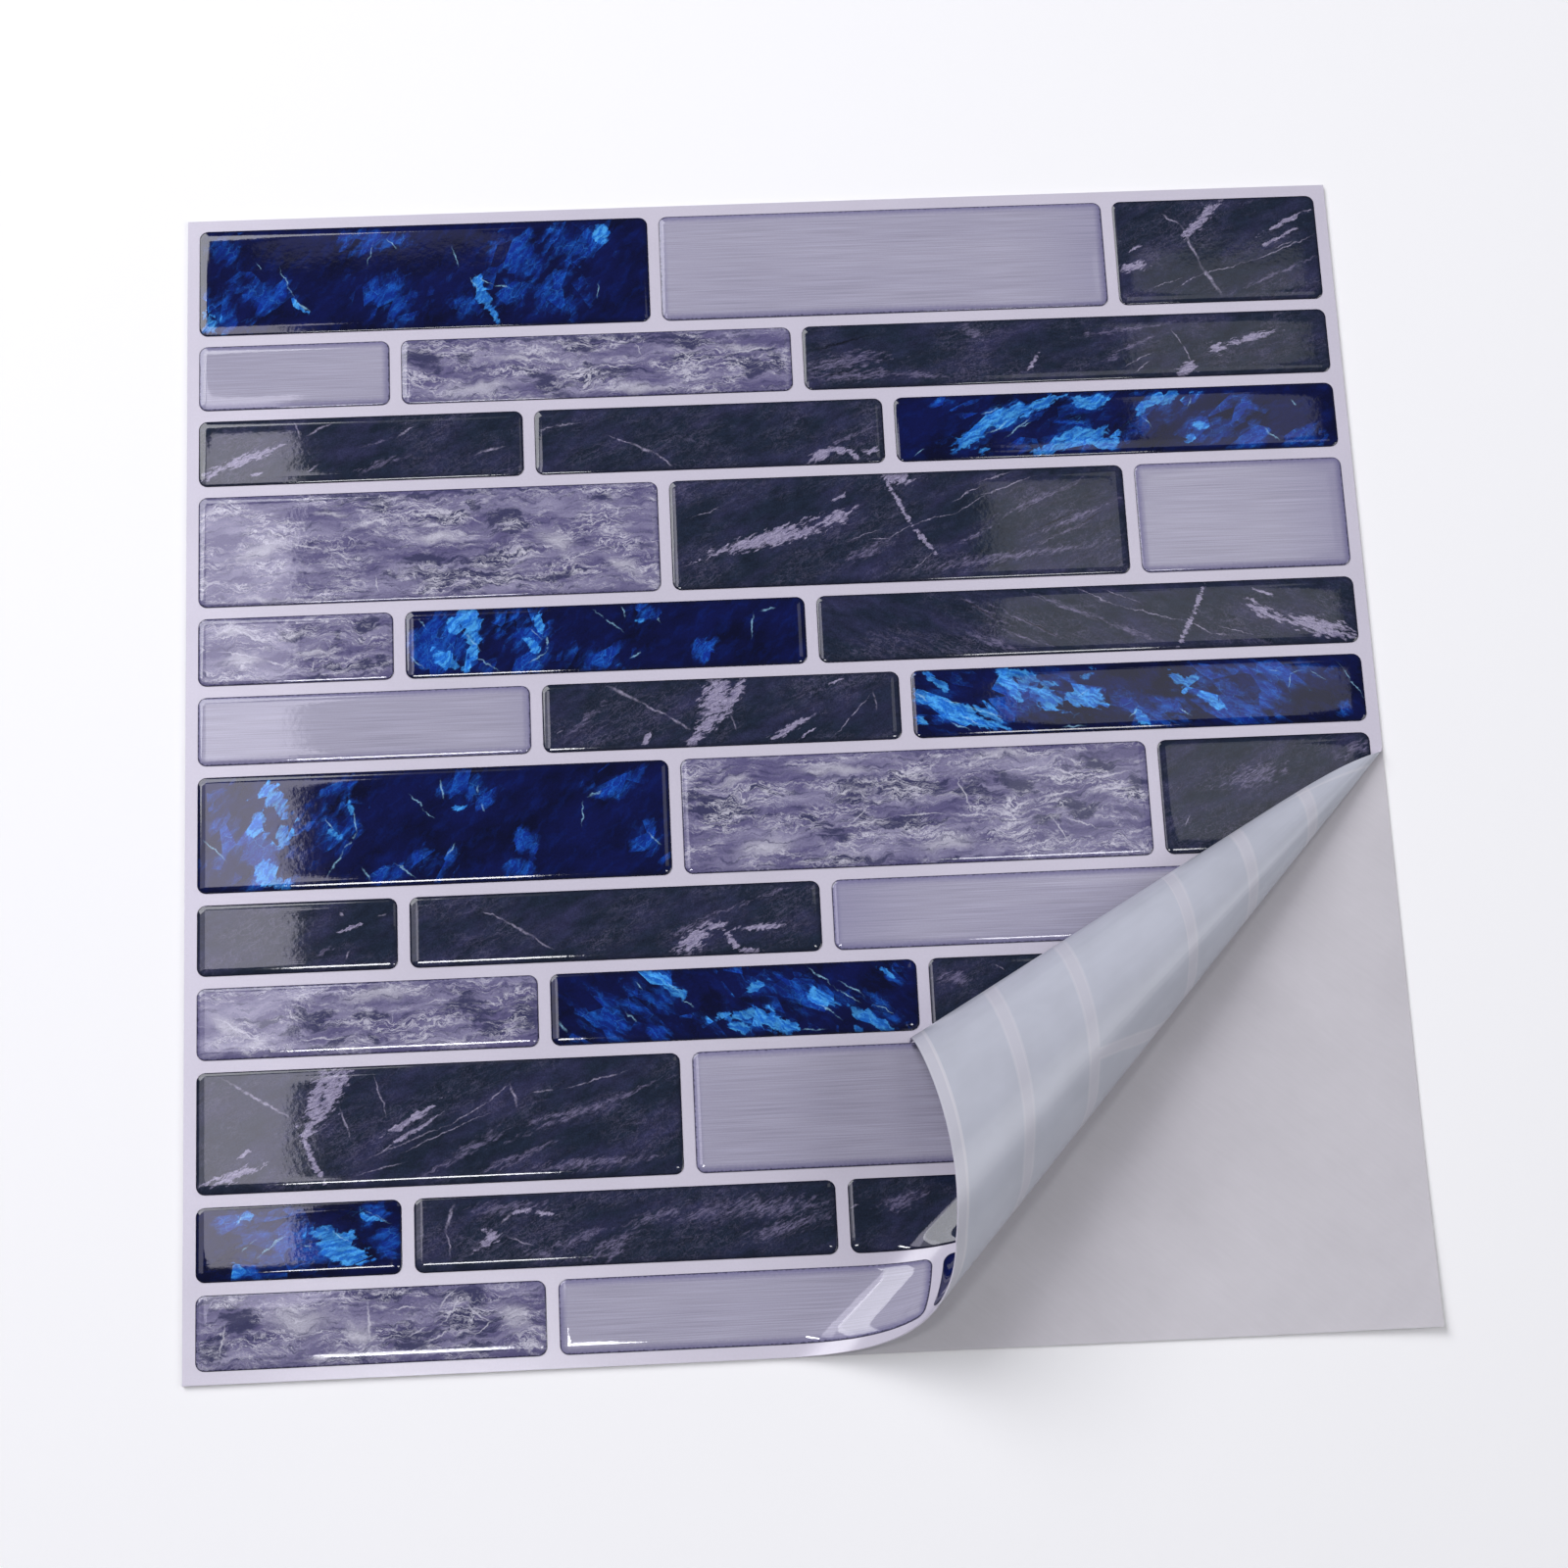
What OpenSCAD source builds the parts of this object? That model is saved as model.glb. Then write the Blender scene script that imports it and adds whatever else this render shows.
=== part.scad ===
// Peel and stick backsplash sheet: a release liner, a printed film that is half peeled at one
// corner, and raised gel tiles in twelve rows of three. The film's back lies on the liner, and the
// peeled corner rolls over onto the tiles with its printed face inside.

/* [Sheet] */
// Thickness of the release liner
liner_t = 0.15; // [0.1:0.05:0.4]
// Thickness of the printed film
film_t = 0.35; // [0.2:0.05:0.6]

/* [Tiles] */
// Thickness of a gel tile on the film
tile_t = 0.6; // [0.3:0.1:0.9]
// Height of the tiles in a tall row
tall_h = 29.6; // [26:0.2:32]
// Height of the tiles in a low row
low_h = 17.8; // [15:0.2:20]
// White joint between two tiles
joint_w = 3; // [2:0.5:4]
// White margin around the outer tiles
margin_w = 3.1; // [2.5:0.1:5]
// Radius of a tile's corners
corner_r = 2.2; // [1:0.1:4]
// Radius of the rounded rim where the gel's top meets its sides
rim_r = 0.35; // [0.1:0.05:0.45]
// Width of the first tile in a tall row
tall_first_w = 117; // [90:1:125]
// Width of the second tile in a tall row
tall_second_w = 117; // [90:1:125]
// Width of the third tile in a tall row
tall_third_w = 53.8; // [40:0.2:70]
// Width of the first tile in a middle row
middle_first_w = 49; // [35:1:70]
// Width of the second tile in a middle row
middle_second_w = 101.2; // [80:0.2:120]
// Width of the first tile in a lower row
lower_first_w = 83; // [60:1:100]
// Width of the second tile in a lower row
lower_second_w = 90; // [70:1:110]

/* [Peeled corner] */
// Length of the right edge that has left the liner
peel_rise = 145; // [130:1:150]
// Slope of the line where the film leaves the liner
peel_angle = 42; // [42:0.5:44]
// Distance past the right edge at which the roll would shrink to a point
tip_out = 6; // [5.5:0.5:8]
// Fan of the front of the roll, seen from that point
front_fan_angle = 14; // [14:0.25:15]
// Turn of the film over the front of the roll
front_turn_angle = 137.5; // [132:0.5:138]
// Fan of the top of the roll
top_fan_angle = 20; // [20:0.25:21]
// Turn of the film over the top of the roll
top_turn_angle = 125; // [120:1:126]
// Distance from that point over the radius of the roll's hanging side
hang_bend_ratio = 2; // [0:0.5:2.5]
// Share of the film's flat fan that the roll takes up past its front
roll_take_up_ratio = 0.755; // [0.74:0.005:0.755]
// Clearance between a rolled tile and the film that carries it
bond_gap = 0.05; // [0.02:0.01:0.1]

/* [Hidden] */
ROWS = 12;
COLUMNS = 3;
ROW_KINDS = 3;
FAN_STEP = 0.8;
FAN_EDGE = 0.002;
SAME_FAN = 0.01;
CORNER_STEPS = 4;
RIM_STEPS = 2;
RIM_SHARE = 0.8;
UP = [0, 0, 1];

ROW_HEIGHTS = [for (row = [0 : ROWS - 1]) row % ROW_KINDS == 0 ? tall_h : low_h];
FIRST_WIDTHS = [tall_first_w, middle_first_w, lower_first_w];
SECOND_WIDTHS = [tall_second_w, middle_second_w, lower_second_w];
sheet_w = tall_first_w + tall_second_w + tall_third_w + (COLUMNS - 1) * joint_w + 2 * margin_w;
sheet_h = sum(ROW_HEIGHTS) + (ROWS - 1) * joint_w + 2 * margin_w;
rim = min(rim_r, RIM_SHARE * tile_t);

peel_out = [-cos(peel_angle), -sin(peel_angle)];
peel_side = [sin(peel_angle), -cos(peel_angle)];
tip = [sheet_w / 2 + tip_out, -sheet_h / 2 + peel_rise + tip_out * tan(peel_angle)];
ZONES = [
    [front_fan_angle, bend_ratio(front_fan_angle, front_turn_angle)],
    [top_fan_angle, bend_ratio(top_fan_angle, top_turn_angle)],
    [180, hang_bend_ratio]
];
FLAT_FRAME = [[peel_out.x, peel_out.y, 0], [peel_side.x, peel_side.y, 0], UP];

SHEET_CORNERS = [
    [sheet_w / 2, -sheet_h / 2],
    [sheet_w / 2, sheet_h / 2],
    [-sheet_w / 2, sheet_h / 2],
    [-sheet_w / 2, -sheet_h / 2]
];
TILE_NAMES = [
    for (row = [1 : ROWS])
        for (column = [1 : COLUMNS])
            tile_name(row, column)
];

// Lists
function sum(list, upto = undef) =
    let (last = upto == undef ? len(list) : upto)
    last == 0 ? 0 : list[last - 1] + sum(list, last - 1);
function sorted(list) =
    len(list) < 2 ? list :
    let (pivot = list[floor(len(list) / 2)])
    concat(
        sorted([for (item = list) if (item < pivot) item]),
        [pivot],
        sorted([for (item = list) if (item > pivot) item])
    );
function spaced(list) =
    [for (i = [0 : len(list) - 1]) if (i == 0 || list[i] - list[i - 1] > SAME_FAN) list[i]];

// Tile grid
function tile_name(row, column) = str("tile_r", row < 10 ? "0" : "", row, "_", column);
function row_top(row) = sheet_h / 2 - margin_w - sum(ROW_HEIGHTS, row - 1) - (row - 1) * joint_w;
function row_widths(row) =
    let (
        kind = (row - 1) % ROW_KINDS,
        first = FIRST_WIDTHS[kind],
        second = SECOND_WIDTHS[kind]
    )
    [first, second, sheet_w - 2 * margin_w - (COLUMNS - 1) * joint_w - first - second];
function tile_left(row, column) =
    -sheet_w / 2 + margin_w + sum(row_widths(row), column - 1) + (column - 1) * joint_w;
function tile_size(row, column) = [row_widths(row)[column - 1], ROW_HEIGHTS[row - 1]];
function tile_corner(row, column) =
    [tile_left(row, column), row_top(row) - ROW_HEIGHTS[row - 1]];
function rounded_outline(low, size, inset) =
    let (radius = corner_r - inset)
    [
        for (quarter = [0 : 3])
            for (step = [0 : CORNER_STEPS])
                let (
                    turn = 90 * quarter + 90 * step / CORNER_STEPS,
                    right = quarter == 0 || quarter == 3,
                    upper = quarter < 2,
                    centre = low + [
                        right ? size.x - corner_r : corner_r,
                        upper ? size.y - corner_r : corner_r
                    ]
                )
                centre + radius * [cos(turn), sin(turn)]
    ];
// Inset and height of each level of a tile, from its foot to the inner edge of its rounded rim
function rim_levels(foot, top) = concat(
    [[0, foot]],
    [
        for (step = [0 : RIM_STEPS])
            let (turn = 90 * step / RIM_STEPS)
            [rim * (1 - cos(turn)), top - rim * (1 - sin(turn))]
    ]
);

// The roll: every straight line on it runs to the tip, and the frame turns from zone to zone
function bend_ratio(fan, turn) = sqrt(pow(turn / fan, 2) - 1);
function spin(v, axis, turn) =
    v * cos(turn) + cross(axis, v) * sin(turn) + axis * (axis * v) * (1 - cos(turn));
function turned(frame, fan, bend) =
    let (axle = frame[2] + bend * frame[0], size = norm(axle))
    [for (v = frame) spin(v, axle / size, size * fan)];
function frame_at(fan, zone = 0, frame = FLAT_FRAME) =
    fan <= ZONES[zone][0] ?
    turned(frame, fan, ZONES[zone][1]) :
    frame_at(fan - ZONES[zone][0], zone + 1, turned(frame, ZONES[zone][0], ZONES[zone][1]));
function fan_of(point) =
    let (rel = point - tip)
    atan2(rel * peel_side, rel * peel_out);
function fan_line(fan) = peel_out * cos(fan) + peel_side * sin(fan);
function taken_up(fan) =
    fan < front_fan_angle ?
    fan :
    front_fan_angle + roll_take_up_ratio * (fan - front_fan_angle);
function placed(point, lift) =
    let (fan = fan_of(point), frame = frame_at(taken_up(max(fan, 0))))
    fan <= 0 ?
    [point.x, point.y, liner_t + lift] :
    [tip.x, tip.y, liner_t] + norm(point - tip) * frame[0] + lift * frame[2];

// Where the line from the tip at this fan enters and leaves a convex outline
function crossings(outline, fan) =
    let (line = fan_line(fan), count = len(outline))
    [
        for (i = [0 : count - 1])
            let (
                from = outline[i] - tip,
                to = outline[(i + 1) % count] - tip,
                side_from = from.x * line.y - from.y * line.x,
                side_to = to.x * line.y - to.y * line.x
            )
            if (side_from * side_to <= 0 && side_from != side_to)
                (from + (to - from) * side_from / (side_from - side_to)) * line
    ];

// The first and last line from the tip that meet an outline
function fan_range(outline) =
    let (fans = [for (point = outline) fan_of(point)])
    [min(fans) + FAN_EDGE, max(fans) - FAN_EDGE];

// A solid with one outline at each height, which lies on the liner and follows the roll past the
// peel line. Each section runs along a straight line of the roll.
module rolled_solid(outlines, heights) {
    base = fan_range(outlines[0]);
    steps = [for (fan = [0 : FAN_STEP : 90]) if (fan > base[0] && fan < base[1]) fan];
    corners = [
        for (point = outlines[0])
            let (fan = fan_of(point))
            if (fan > base[0] && fan < base[1]) fan
    ];
    cuts = spaced(sorted(concat(base, steps, corners)));
    levels = len(heights);
    ends = [
        for (cut = cuts)
            [
                for (level = [0 : levels - 1])
                    let (
                        own = fan_range(outlines[level]),
                        share = (cut - base[0]) / (base[1] - base[0]),
                        fan = own[0] + share * (own[1] - own[0]),
                        reach = crossings(outlines[level], fan),
                        near = tip + min(reach) * fan_line(fan),
                        far = tip + max(reach) * fan_line(fan)
                    )
                    [placed(near, heights[level]), placed(far, heights[level])]
            ]
    ];
    points = [
        for (section = ends)
            each concat(
                [section[0][0]],
                [for (level = [0 : levels - 1]) section[level][1]],
                [for (level = [levels - 1 : -1 : 1]) section[level][0]]
            )
    ];
    sides = 2 * levels;
    last = sides * (len(cuts) - 1);
    walls = [
        for (i = [0 : len(cuts) - 2])
            for (side = [0 : sides - 1])
                let (
                    a = sides * i + side,
                    b = sides * i + (side + 1) % sides
                )
                each [[a, b, b + sides], [a, b + sides, a + sides]]
    ];
    caps = [[for (i = [sides - 1 : -1 : 0]) i], [for (i = [0 : sides - 1]) last + i]];
    polyhedron(points, concat(walls, caps), convexity = 6);
}

// The same solid where it is flat: one ring of points at each height
module flat_solid(outlines, heights) {
    count = len(outlines[0]);
    points = [
        for (level = [0 : len(heights) - 1])
            for (point = outlines[level])
                [point.x, point.y, liner_t + heights[level]]
    ];
    walls = [
        for (level = [0 : len(heights) - 2])
            for (i = [0 : count - 1])
                let (
                    a = count * level + i,
                    b = count * level + (i + 1) % count
                )
                each [[a, a + count, b + count], [a, b + count, b]]
    ];
    top = count * (len(heights) - 1);
    caps = [[for (i = [0 : count - 1]) i], [for (i = [count - 1 : -1 : 0]) top + i]];
    polyhedron(points, concat(walls, caps), convexity = 2);
}

module release_liner() {
    color("gainsboro")
        translate([-sheet_w / 2, -sheet_h / 2, 0])
            cube([sheet_w, sheet_h, liner_t]);
}

module printed_film() {
    color("lavender") rolled_solid([SHEET_CORNERS, SHEET_CORNERS], [0, film_t]);
}

module gel_tile(row, column) {
    low = tile_corner(row, column);
    size = tile_size(row, column);
    rolled = max([for (point = rounded_outline(low, size, 0)) fan_of(point)]) > 0;
    levels = rim_levels(film_t + (rolled ? bond_gap : 0), film_t + tile_t);
    outlines = [for (level = levels) rounded_outline(low, size, level[0])];
    heights = [for (level = levels) level[1]];
    color("steelblue")
        if (rolled)
            rolled_solid(outlines, heights);
        else
            flat_solid(outlines, heights);
}

release_liner();
printed_film();
for (row = [1 : ROWS], column = [1 : COLUMNS])
    gel_tile(row, column);
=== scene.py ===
"""Looks for the peel and stick backsplash sheet, laid out as a Blender add-on and run as a script."""
import math

import bpy
from bpy.props import FloatProperty, FloatVectorProperty, IntProperty, PointerProperty
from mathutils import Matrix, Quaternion, Vector


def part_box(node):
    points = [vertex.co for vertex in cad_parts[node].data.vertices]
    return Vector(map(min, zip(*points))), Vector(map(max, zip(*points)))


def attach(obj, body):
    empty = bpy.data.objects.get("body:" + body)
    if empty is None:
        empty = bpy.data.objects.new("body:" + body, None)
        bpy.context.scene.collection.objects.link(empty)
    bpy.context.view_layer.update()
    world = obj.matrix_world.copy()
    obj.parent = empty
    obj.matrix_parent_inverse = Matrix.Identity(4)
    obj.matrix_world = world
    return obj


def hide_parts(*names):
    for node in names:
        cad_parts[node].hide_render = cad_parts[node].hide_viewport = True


bl_info = {
    "name": "Backsplash Sheet Looks",
    "version": (1, 0, 0),
    "blender": (4, 5, 0),
    "location": "View3D > Sidebar > Backsplash",
    "description": "Builds the dressed peel and stick backsplash sheet around its packed solids",
    "category": "Object",
}

MM = 0.001
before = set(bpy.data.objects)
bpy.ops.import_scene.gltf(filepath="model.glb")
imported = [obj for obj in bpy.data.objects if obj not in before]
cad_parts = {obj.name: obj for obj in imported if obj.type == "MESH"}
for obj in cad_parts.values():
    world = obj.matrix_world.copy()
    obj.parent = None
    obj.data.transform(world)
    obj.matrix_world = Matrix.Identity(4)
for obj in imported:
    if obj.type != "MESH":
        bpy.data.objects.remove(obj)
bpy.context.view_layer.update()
LINER_LOW, LINER_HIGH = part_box("release_liner")

# Finishes of the tiles, left to right, three letters a row from the top: Blue, Silver, Pale, Dark.
ROW_FINISHES = "BSD SPD DDB PDS PBD SDB BPD DDS PBD DSP BDD PSB".split()
# How many degrees the streaks of the slate and the blue print rise to the right, and the tiles that differ.
SLATE_LEAN, BLUE_LEAN = 27, 50
LEANS = {"r05_3": -22, "r02_3": 12, "r03_3": 25, "r06_3": -25, "r09_2": -35, "r11_1": 15}
# Where, in millimetres from the tile's centre, the shading of a silver tile's side starts and where it is full.
# The second pair of values is for the tiles whose side isn't shaded.
SILVER_SHADES = {"r01_2": (30, 75), "r04_3": (2, 34), "r08_3": (-42, -75), "r06_1": (28, 60)}
SILVER_PLAIN = (60, 200)
# How far, in millimetres, a tile's part of the noise lies from that of the tile before it.
NOISE_STEP = (170.0, 40.0, 0.0)
# Where a stroke's outline lies and how far a tear moves it, as shares of half the stroke's width.
STROKE_EDGE, STROKE_TEAR = 1.15, 0.9
# Side of the blank that each gel tile is stretched from, as a share of a low row's height.
BLANK_SHARE = 0.6
# The gel's skin, from the wall inwards: how far in, in millimetres, and its share of the gel's height.
GEL_SKIN = ((0.06, 0.297), (0.15, 0.378), (0.3, 0.471), (0.5, 0.563), (0.8, 0.673), (1.1, 0.764), (1.45, 0.848),
            (1.8, 0.908), (2.05, 0.9385), (2.4, 0.967), (2.9, 0.988), (3.5, 0.997), (4.2, 1.0))
# The inset that comes this near to the corner radius makes one point of corner points this near to each other.
CORNER_NEAR, CORNER_MERGE = 0.2 * MM, 0.5 * MM
# The camera as fitted to the photo: its place in metres and its turn in degrees.
CAMERA_PLACE, CAMERA_TURN = (-0.0278, -0.20068, 0.70931), (15.21, -1.404, -2.755)
# Lamps: name, place, what it is aimed at, width and height in metres, and power in watts. The first seven look
# straight down from where the gel mirrors them into the camera. The last two light the sheet from the sides.
LAMPS = (("window_left", (-0.334, 0.245, 1.0), None, 0.154, 0.535, 1.12),
         ("window_far", (-0.6, 0.245, 1.0), None, 0.38, 0.535, 1.1),
         ("panel_top", (-0.2, 0.71, 1.0), None, 0.16, 0.18, 0.04),
         ("panel_right", (0.28, 0.33, 1.0), None, 0.22, 0.26, 0.18),
         ("panel_upper", (0.327, 0.53, 1.0), None, 0.115, 0.14, 0.04),
         ("softbox_front", (-0.185, -0.135, 1.0), None, 0.16, 0.07, 1.05),
         ("softbox_right", (0.2, -0.135, 1.0), None, 0.13, 0.07, 0.5),
         ("key_top_left", (-1.1, 1.3, 1.5), (0, 0, 0), 1.3, 1.3, 34),
         ("fill_right", (1.7, -0.5, 1.5), (0.1, 0, 0), 1.2, 1.2, 15))


# Strokes of each tile's print, in millimetres from the tile's centre: both ends and the width at the middle.
# D: blades are pale streaks, veins their thin lines, bands soft purple streaks, grooves dark lines.
# B: clouds are mid-blue, shards bright facets, veins light cracks, voids near-black gaps.
# P: patches are indigo, lights pale areas, veins crinkled white lines.
STROKES = {
    "r01_1": {
        "clouds": [
            (-55, 12, -47, 6, 7), (-57, -7, -48, -12, 7), (-45, -4, -38, -4, 8), (22, 8, 30, -1, 9),
            (30, -3, 38, -12, 10), (32, 6, 45, 9, 8), (10, -6, 12, -13, 7), (-14, -5, -5, -8, 9),
            (20, -4, 24, -8, 8), (-18, 10, -5, 10, 5)],
        "shards": [
            (13, -2, 17, -9, 2.6), (17, -9, 19, -14, 1.6), (46, 12, 47, 9, 2.6), (-57, -9, -55, -13, 5),
            (-34, -6, -31, -9, 1)],
        "veins": [
            (12, -1, 14, -5, 0.4), (13, -0.5, 18, -3.5, 0.4), (18, -3.5, 22, -4, 0.4),
            (-44, 5.5, -42, 3, 0.5), (-38, 4, -34, -5, 0.4), (-34, -5, -30, -9, 0.6), (7, 8, 9, 2, 0.5),
            (-13, 11, -15, 3.5, 0.4), (-10, 11, -7, 8, 0.4), (45, -4, 45, -8, 0.5)]},
    "r03_3": {
        "clouds": [
            (-38, -3, -22, 4, 8), (-20, -3, -2, -3, 10), (-15, 6, -2, 6, 7), (5, 2, 18, 5, 9),
            (20, -4, 34, -2, 10), (30, -6, 38, -6, 6), (44, -7, 52, -6, 4), (-45, 7, -40, 7, 3)],
        "shards": [
            (-43, -6, -33, 0, 3), (-33, 0, -24, 4, 3.6), (-38, -1, -28, 2, 2.6), (-22, 5, -14, 7, 2),
            (-12, 7, -3, 5, 3.2), (-8, -3, -2, -3, 3.6), (-14, -4, -6, -3, 3), (-20, -7, -12, -6, 2.6),
            (-6, -6, -2, -6, 2.6), (6, 2, 10, 5, 1.6), (10, 5, 18, 7, 2.6), (-36, -6.5, -33, -6, 1.6),
            (17, -6, 19, -5, 1.2), (21, -2, 23, -2.5, 1.4)],
        "veins": [
            (-35, -3, -27, 1.5, 0.5), (-29, -3.5, -22, 2.5, 0.5), (-26, -1, -22, 1, 0.4),
            (-35, 3, -30, 5, 0.5), (-53, -7.5, -50, -5.5, 0.4), (38, -3, 42, -7, 0.5),
            (46, 4.5, 47, 3, 0.5), (7, 1, 9, -2, 0.4), (19, 3, 20, 6, 0.4)],
        "voids": [
            (-33, 6, -26, 8, 3), (-2, -4, 5, 3, 5), (-14, 1, -6, 1.5, 2), (5, -6, 18, 0, 3)]},
    "r05_2": {
        "clouds": [
            (-47, 0, -42, -2, 10), (-40, 4, -34, -4, 9), (-24, 5, -18, -3, 9), (-22, -5, -19, -7, 5),
            (-27, 3, -25, 1, 4), (6, 6, 13, 6, 4), (24, -3, 25, -6, 3.5), (-8, -5, 3, -6, 6),
            (-45, 6, -44, 5, 4)],
        "shards": [
            (-36, 7, -33, 5, 3), (-35, 3, -33, -1, 3.2), (-34, -1, -32.5, -3, 2.6), (-41, -4, -36, -7, 2.4),
            (-21, -1, -17, -3, 1.6), (-17, 6, -16.5, 3, 1.6), (7, 4.8, 9.5, 4, 1), (-39, 6, -37, 3, 1.6)],
        "veins": [
            (-3, 7.5, 4.5, 1.2, 0.5), (4, 8, 5, 5, 0.5), (-19, 3, -16, 0, 0.4), (-15, 1, -15, -3, 0.5),
            (-15, -3, -20, -6, 0.5), (-50, -3, -46, -6.5, 0.6), (-36, 3, -32, -2, 0.5),
            (-33, -4, -27, -8, 0.4), (6, -6, 8.5, -4, 0.6), (37.5, 5, 36.5, -2, 0.5),
            (39, 5.5, 43, 6, 0.7), (-47, 6.5, -45, 3.5, 0.4), (13, 5, 14, 3.5, 0.5)]},
    "r06_3": {
        "clouds": [
            (-55, 4, -45, -2, 10), (-35, 0, -30, -4, 10), (-32, 6, -15, 2, 10), (-5, 0, 3, -6, 6),
            (5, -4, 12, -6, 8), (14, 4, 18, 3, 7), (20, 0, 30, -4, 12), (38, 6, 47, 5, 6),
            (50, -6, 53, -5, 3), (30, 4, 38, 2, 8)],
        "shards": [
            (-53, 7, -48, 3, 2.2), (-57, 4, -50, -1, 2.4), (-50, -0.5, -40, -4, 3.6), (-42, -1, -35, -6, 2.4),
            (-46, -4, -38, -6.5, 2), (-34, 6.5, -24, 5, 3.6), (-26, 4, -21, 3, 4), (-24, -1, -20, -1.5, 3.4),
            (-18, 0.5, -11, -1, 3.6), (-15, 5, -12, 7, 2.4), (-32, 3, -30, 0, 1.2), (9, 5, 12, 3, 2.8),
            (12, 2, 15, 5, 2.4), (-1, -4, 1, -7, 1.6), (17, -1, 20, -3, 1.8), (-56, -4, -54, -6, 1.6)],
        "veins": [
            (-57, 3.5, -53, 0, 0.5), (-50, 1, -44, -1, 0.4), (-44, -1, -35, -4.5, 0.5),
            (-46, -3, -40, -6.5, 0.5), (-48, -5, -43, -7.5, 0.5), (-20, -7.5, -14, -7.5, 0.6),
            (38, 0, 39, 4, 0.4), (39, 4, 42, 5, 0.4), (44, 5, 48, 2, 0.4), (33.5, 5.5, 36, 5, 0.5),
            (-3, -6, 0, -2.5, 0.4), (-16, 0, -12, 2.5, 0.4), (10, -4, 13, -6, 0.4), (51, 7, 58, -4, 0.4)],
        "voids": [
            (-10, 6, 0, 6, 5), (-20, -5.5, -10, -5.5, 3.5), (2, 1, 14, -1, 2.2), (40, -2, 50, -3, 7),
            (-40, 1, -36, -3, 0.8)]},
    "r07_1": {
        "clouds": [
            (-50, 0, -40, -8, 16), (-27, 5, -24, -4, 8), (-22, 8, -20, -2, 5), (3, 11, 12, 8, 6),
            (12, 10, 12, 5, 4), (22, -3, 23, -7, 3.5), (18, -11, 22, -12, 3), (50, -4, 56, -9, 5),
            (42, 8, 50, 9, 6), (-4, -11, 2, -10, 6), (-16, -11, -8, -12, 4), (-26, 10, -22, 12, 5)],
        "shards": [
            (-40, 9, -37, 4, 4), (-38, 2, -37, -3, 3.5), (-45, 6, -42, 1, 4), (-21, 7, -20, 3, 1.6),
            (-42, -10, -38, -13, 3.5), (5, 5, 7.5, 5, 0.9), (-26, 0, -24, -2, 1.6)],
        "veins": [
            (-6, 8.5, -2, 4, 0.5), (-2, 4, 0, 2, 0.4), (1.5, 12, 2.5, 7, 0.6), (-20, 5, -19, -1, 0.5),
            (-19, -1, -22, -5, 0.5), (-22, -5, -27, -12, 0.6), (-27, 3, -25, 0, 0.5), (3, -8, 5, -4.5, 0.6),
            (-57, -1, -51, -7, 0.5), (11, 10, 11, 8, 0.6), (12, 5, 12.5, 3.5, 0.6), (37, 5, 36.5, -2, 0.4),
            (38, 6, 42, 7, 0.7), (-10, -9, -5, -13, 0.5), (-18, -10, -16, -13, 0.6), (53, -4, 56, -7, 0.5)]},
    "r09_2": {
        "clouds": [
            (-37, -3, -28, -3, 9), (-22, 5, -15, 0, 9), (-20, -7, -17, -7, 3), (0, 6, 10, 4, 6),
            (-2, -5, 8, -6, 7), (12, 5, 18, -4, 7), (20, 0, 32, -3, 6), (28, 3, 40, -8, 5), (38, 6, 42, 5, 5)],
        "shards": [
            (-22, 7, -17, 5, 2.2), (-17, 5, -12, 1, 2.2), (-2, -4, 7, -3, 2.6), (4, -3, 8, -5, 2.6),
            (-2, -5.5, 3, -7, 2.4), (8, -6, 14, -7, 2.4), (2, 3, 8, 5, 2), (20, 1, 27, -3, 2),
            (26, -2, 33, -5, 3), (32, -5, 38, -8.5, 2), (29, -7, 31, -8, 1.4), (36, 7, 39, 5, 1.2)],
        "veins": [
            (18, 8, 24, 3, 0.5), (24, 3, 31, -1.5, 0.4), (20, -1, 26, -5.5, 0.4), (26, 4, 32, 0, 0.5),
            (-24, 6, -22.5, 4, 0.4), (-17, 6, -13, 3, 0.4), (-13, 1, -10, -1, 0.4), (34, -2, 39, -5, 0.4),
            (-43, -3, -41, -6, 0.6), (-27, -1, -24, -4, 0.5), (16, -7.5, 22, -8, 0.5)],
        "voids": [
            (-8, 3, -4, -2, 6), (0, 0, 8, 0.5, 2)]},
    "r11_1": {
        "clouds": [
            (-12, 4, -5, -4, 10), (-2, 2, 6, -4, 9), (-15, -6, -10, -6, 6), (20, 0, 23, -2, 5),
            (15, 6, 20, 5, 4), (-17, 5, -12, 7, 5)],
        "shards": [
            (5, 2, 12, -2, 4.5), (8, -3, 14, -4.5, 3), (16, 5.5, 20, 4, 1), (-14, 6, -11, 6.5, 1.6),
            (-16, -6, -14, -7, 2)],
        "veins": [
            (-6, -1, -3, 1.5, 0.5), (-10, -4, -3, 2, 0.4), (16, 6.5, 22, 3, 0.4), (-15, 4, -13, 7, 0.4),
            (1, -1.2, 3, -1.5, 0.6), (-14, -2, -10, 1, 0.4), (6, 3, 13, -1, 0.4)],
        "voids": [
            (4, 8, 14, 6, 6), (14, 0, 17, -5, 3), (-18, 2, -14, -1, 2)]},
    "r12_3": {
        "clouds": [
            (-40, 4, -34, -3, 6), (10, 2, 22, -3, 8)],
        "shards": [
            (-38, 5, -35, 2, 2)],
        "veins": [
            (-42, 5, -36, -2, 0.5)]},
    "r01_3": {
        "blades": [
            (-25.5, -5, -20, -3.5, 2.6), (-23, 0.3, -20.5, 1.8, 0.7), (14, 5, 24, 10, 1.2),
            (13, 1, 22, 5.5, 0.9), (1, 13.5, -6, 6, 2.4), (-5, 7, -8.5, 4.5, 2.2)],
        "veins": [
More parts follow.
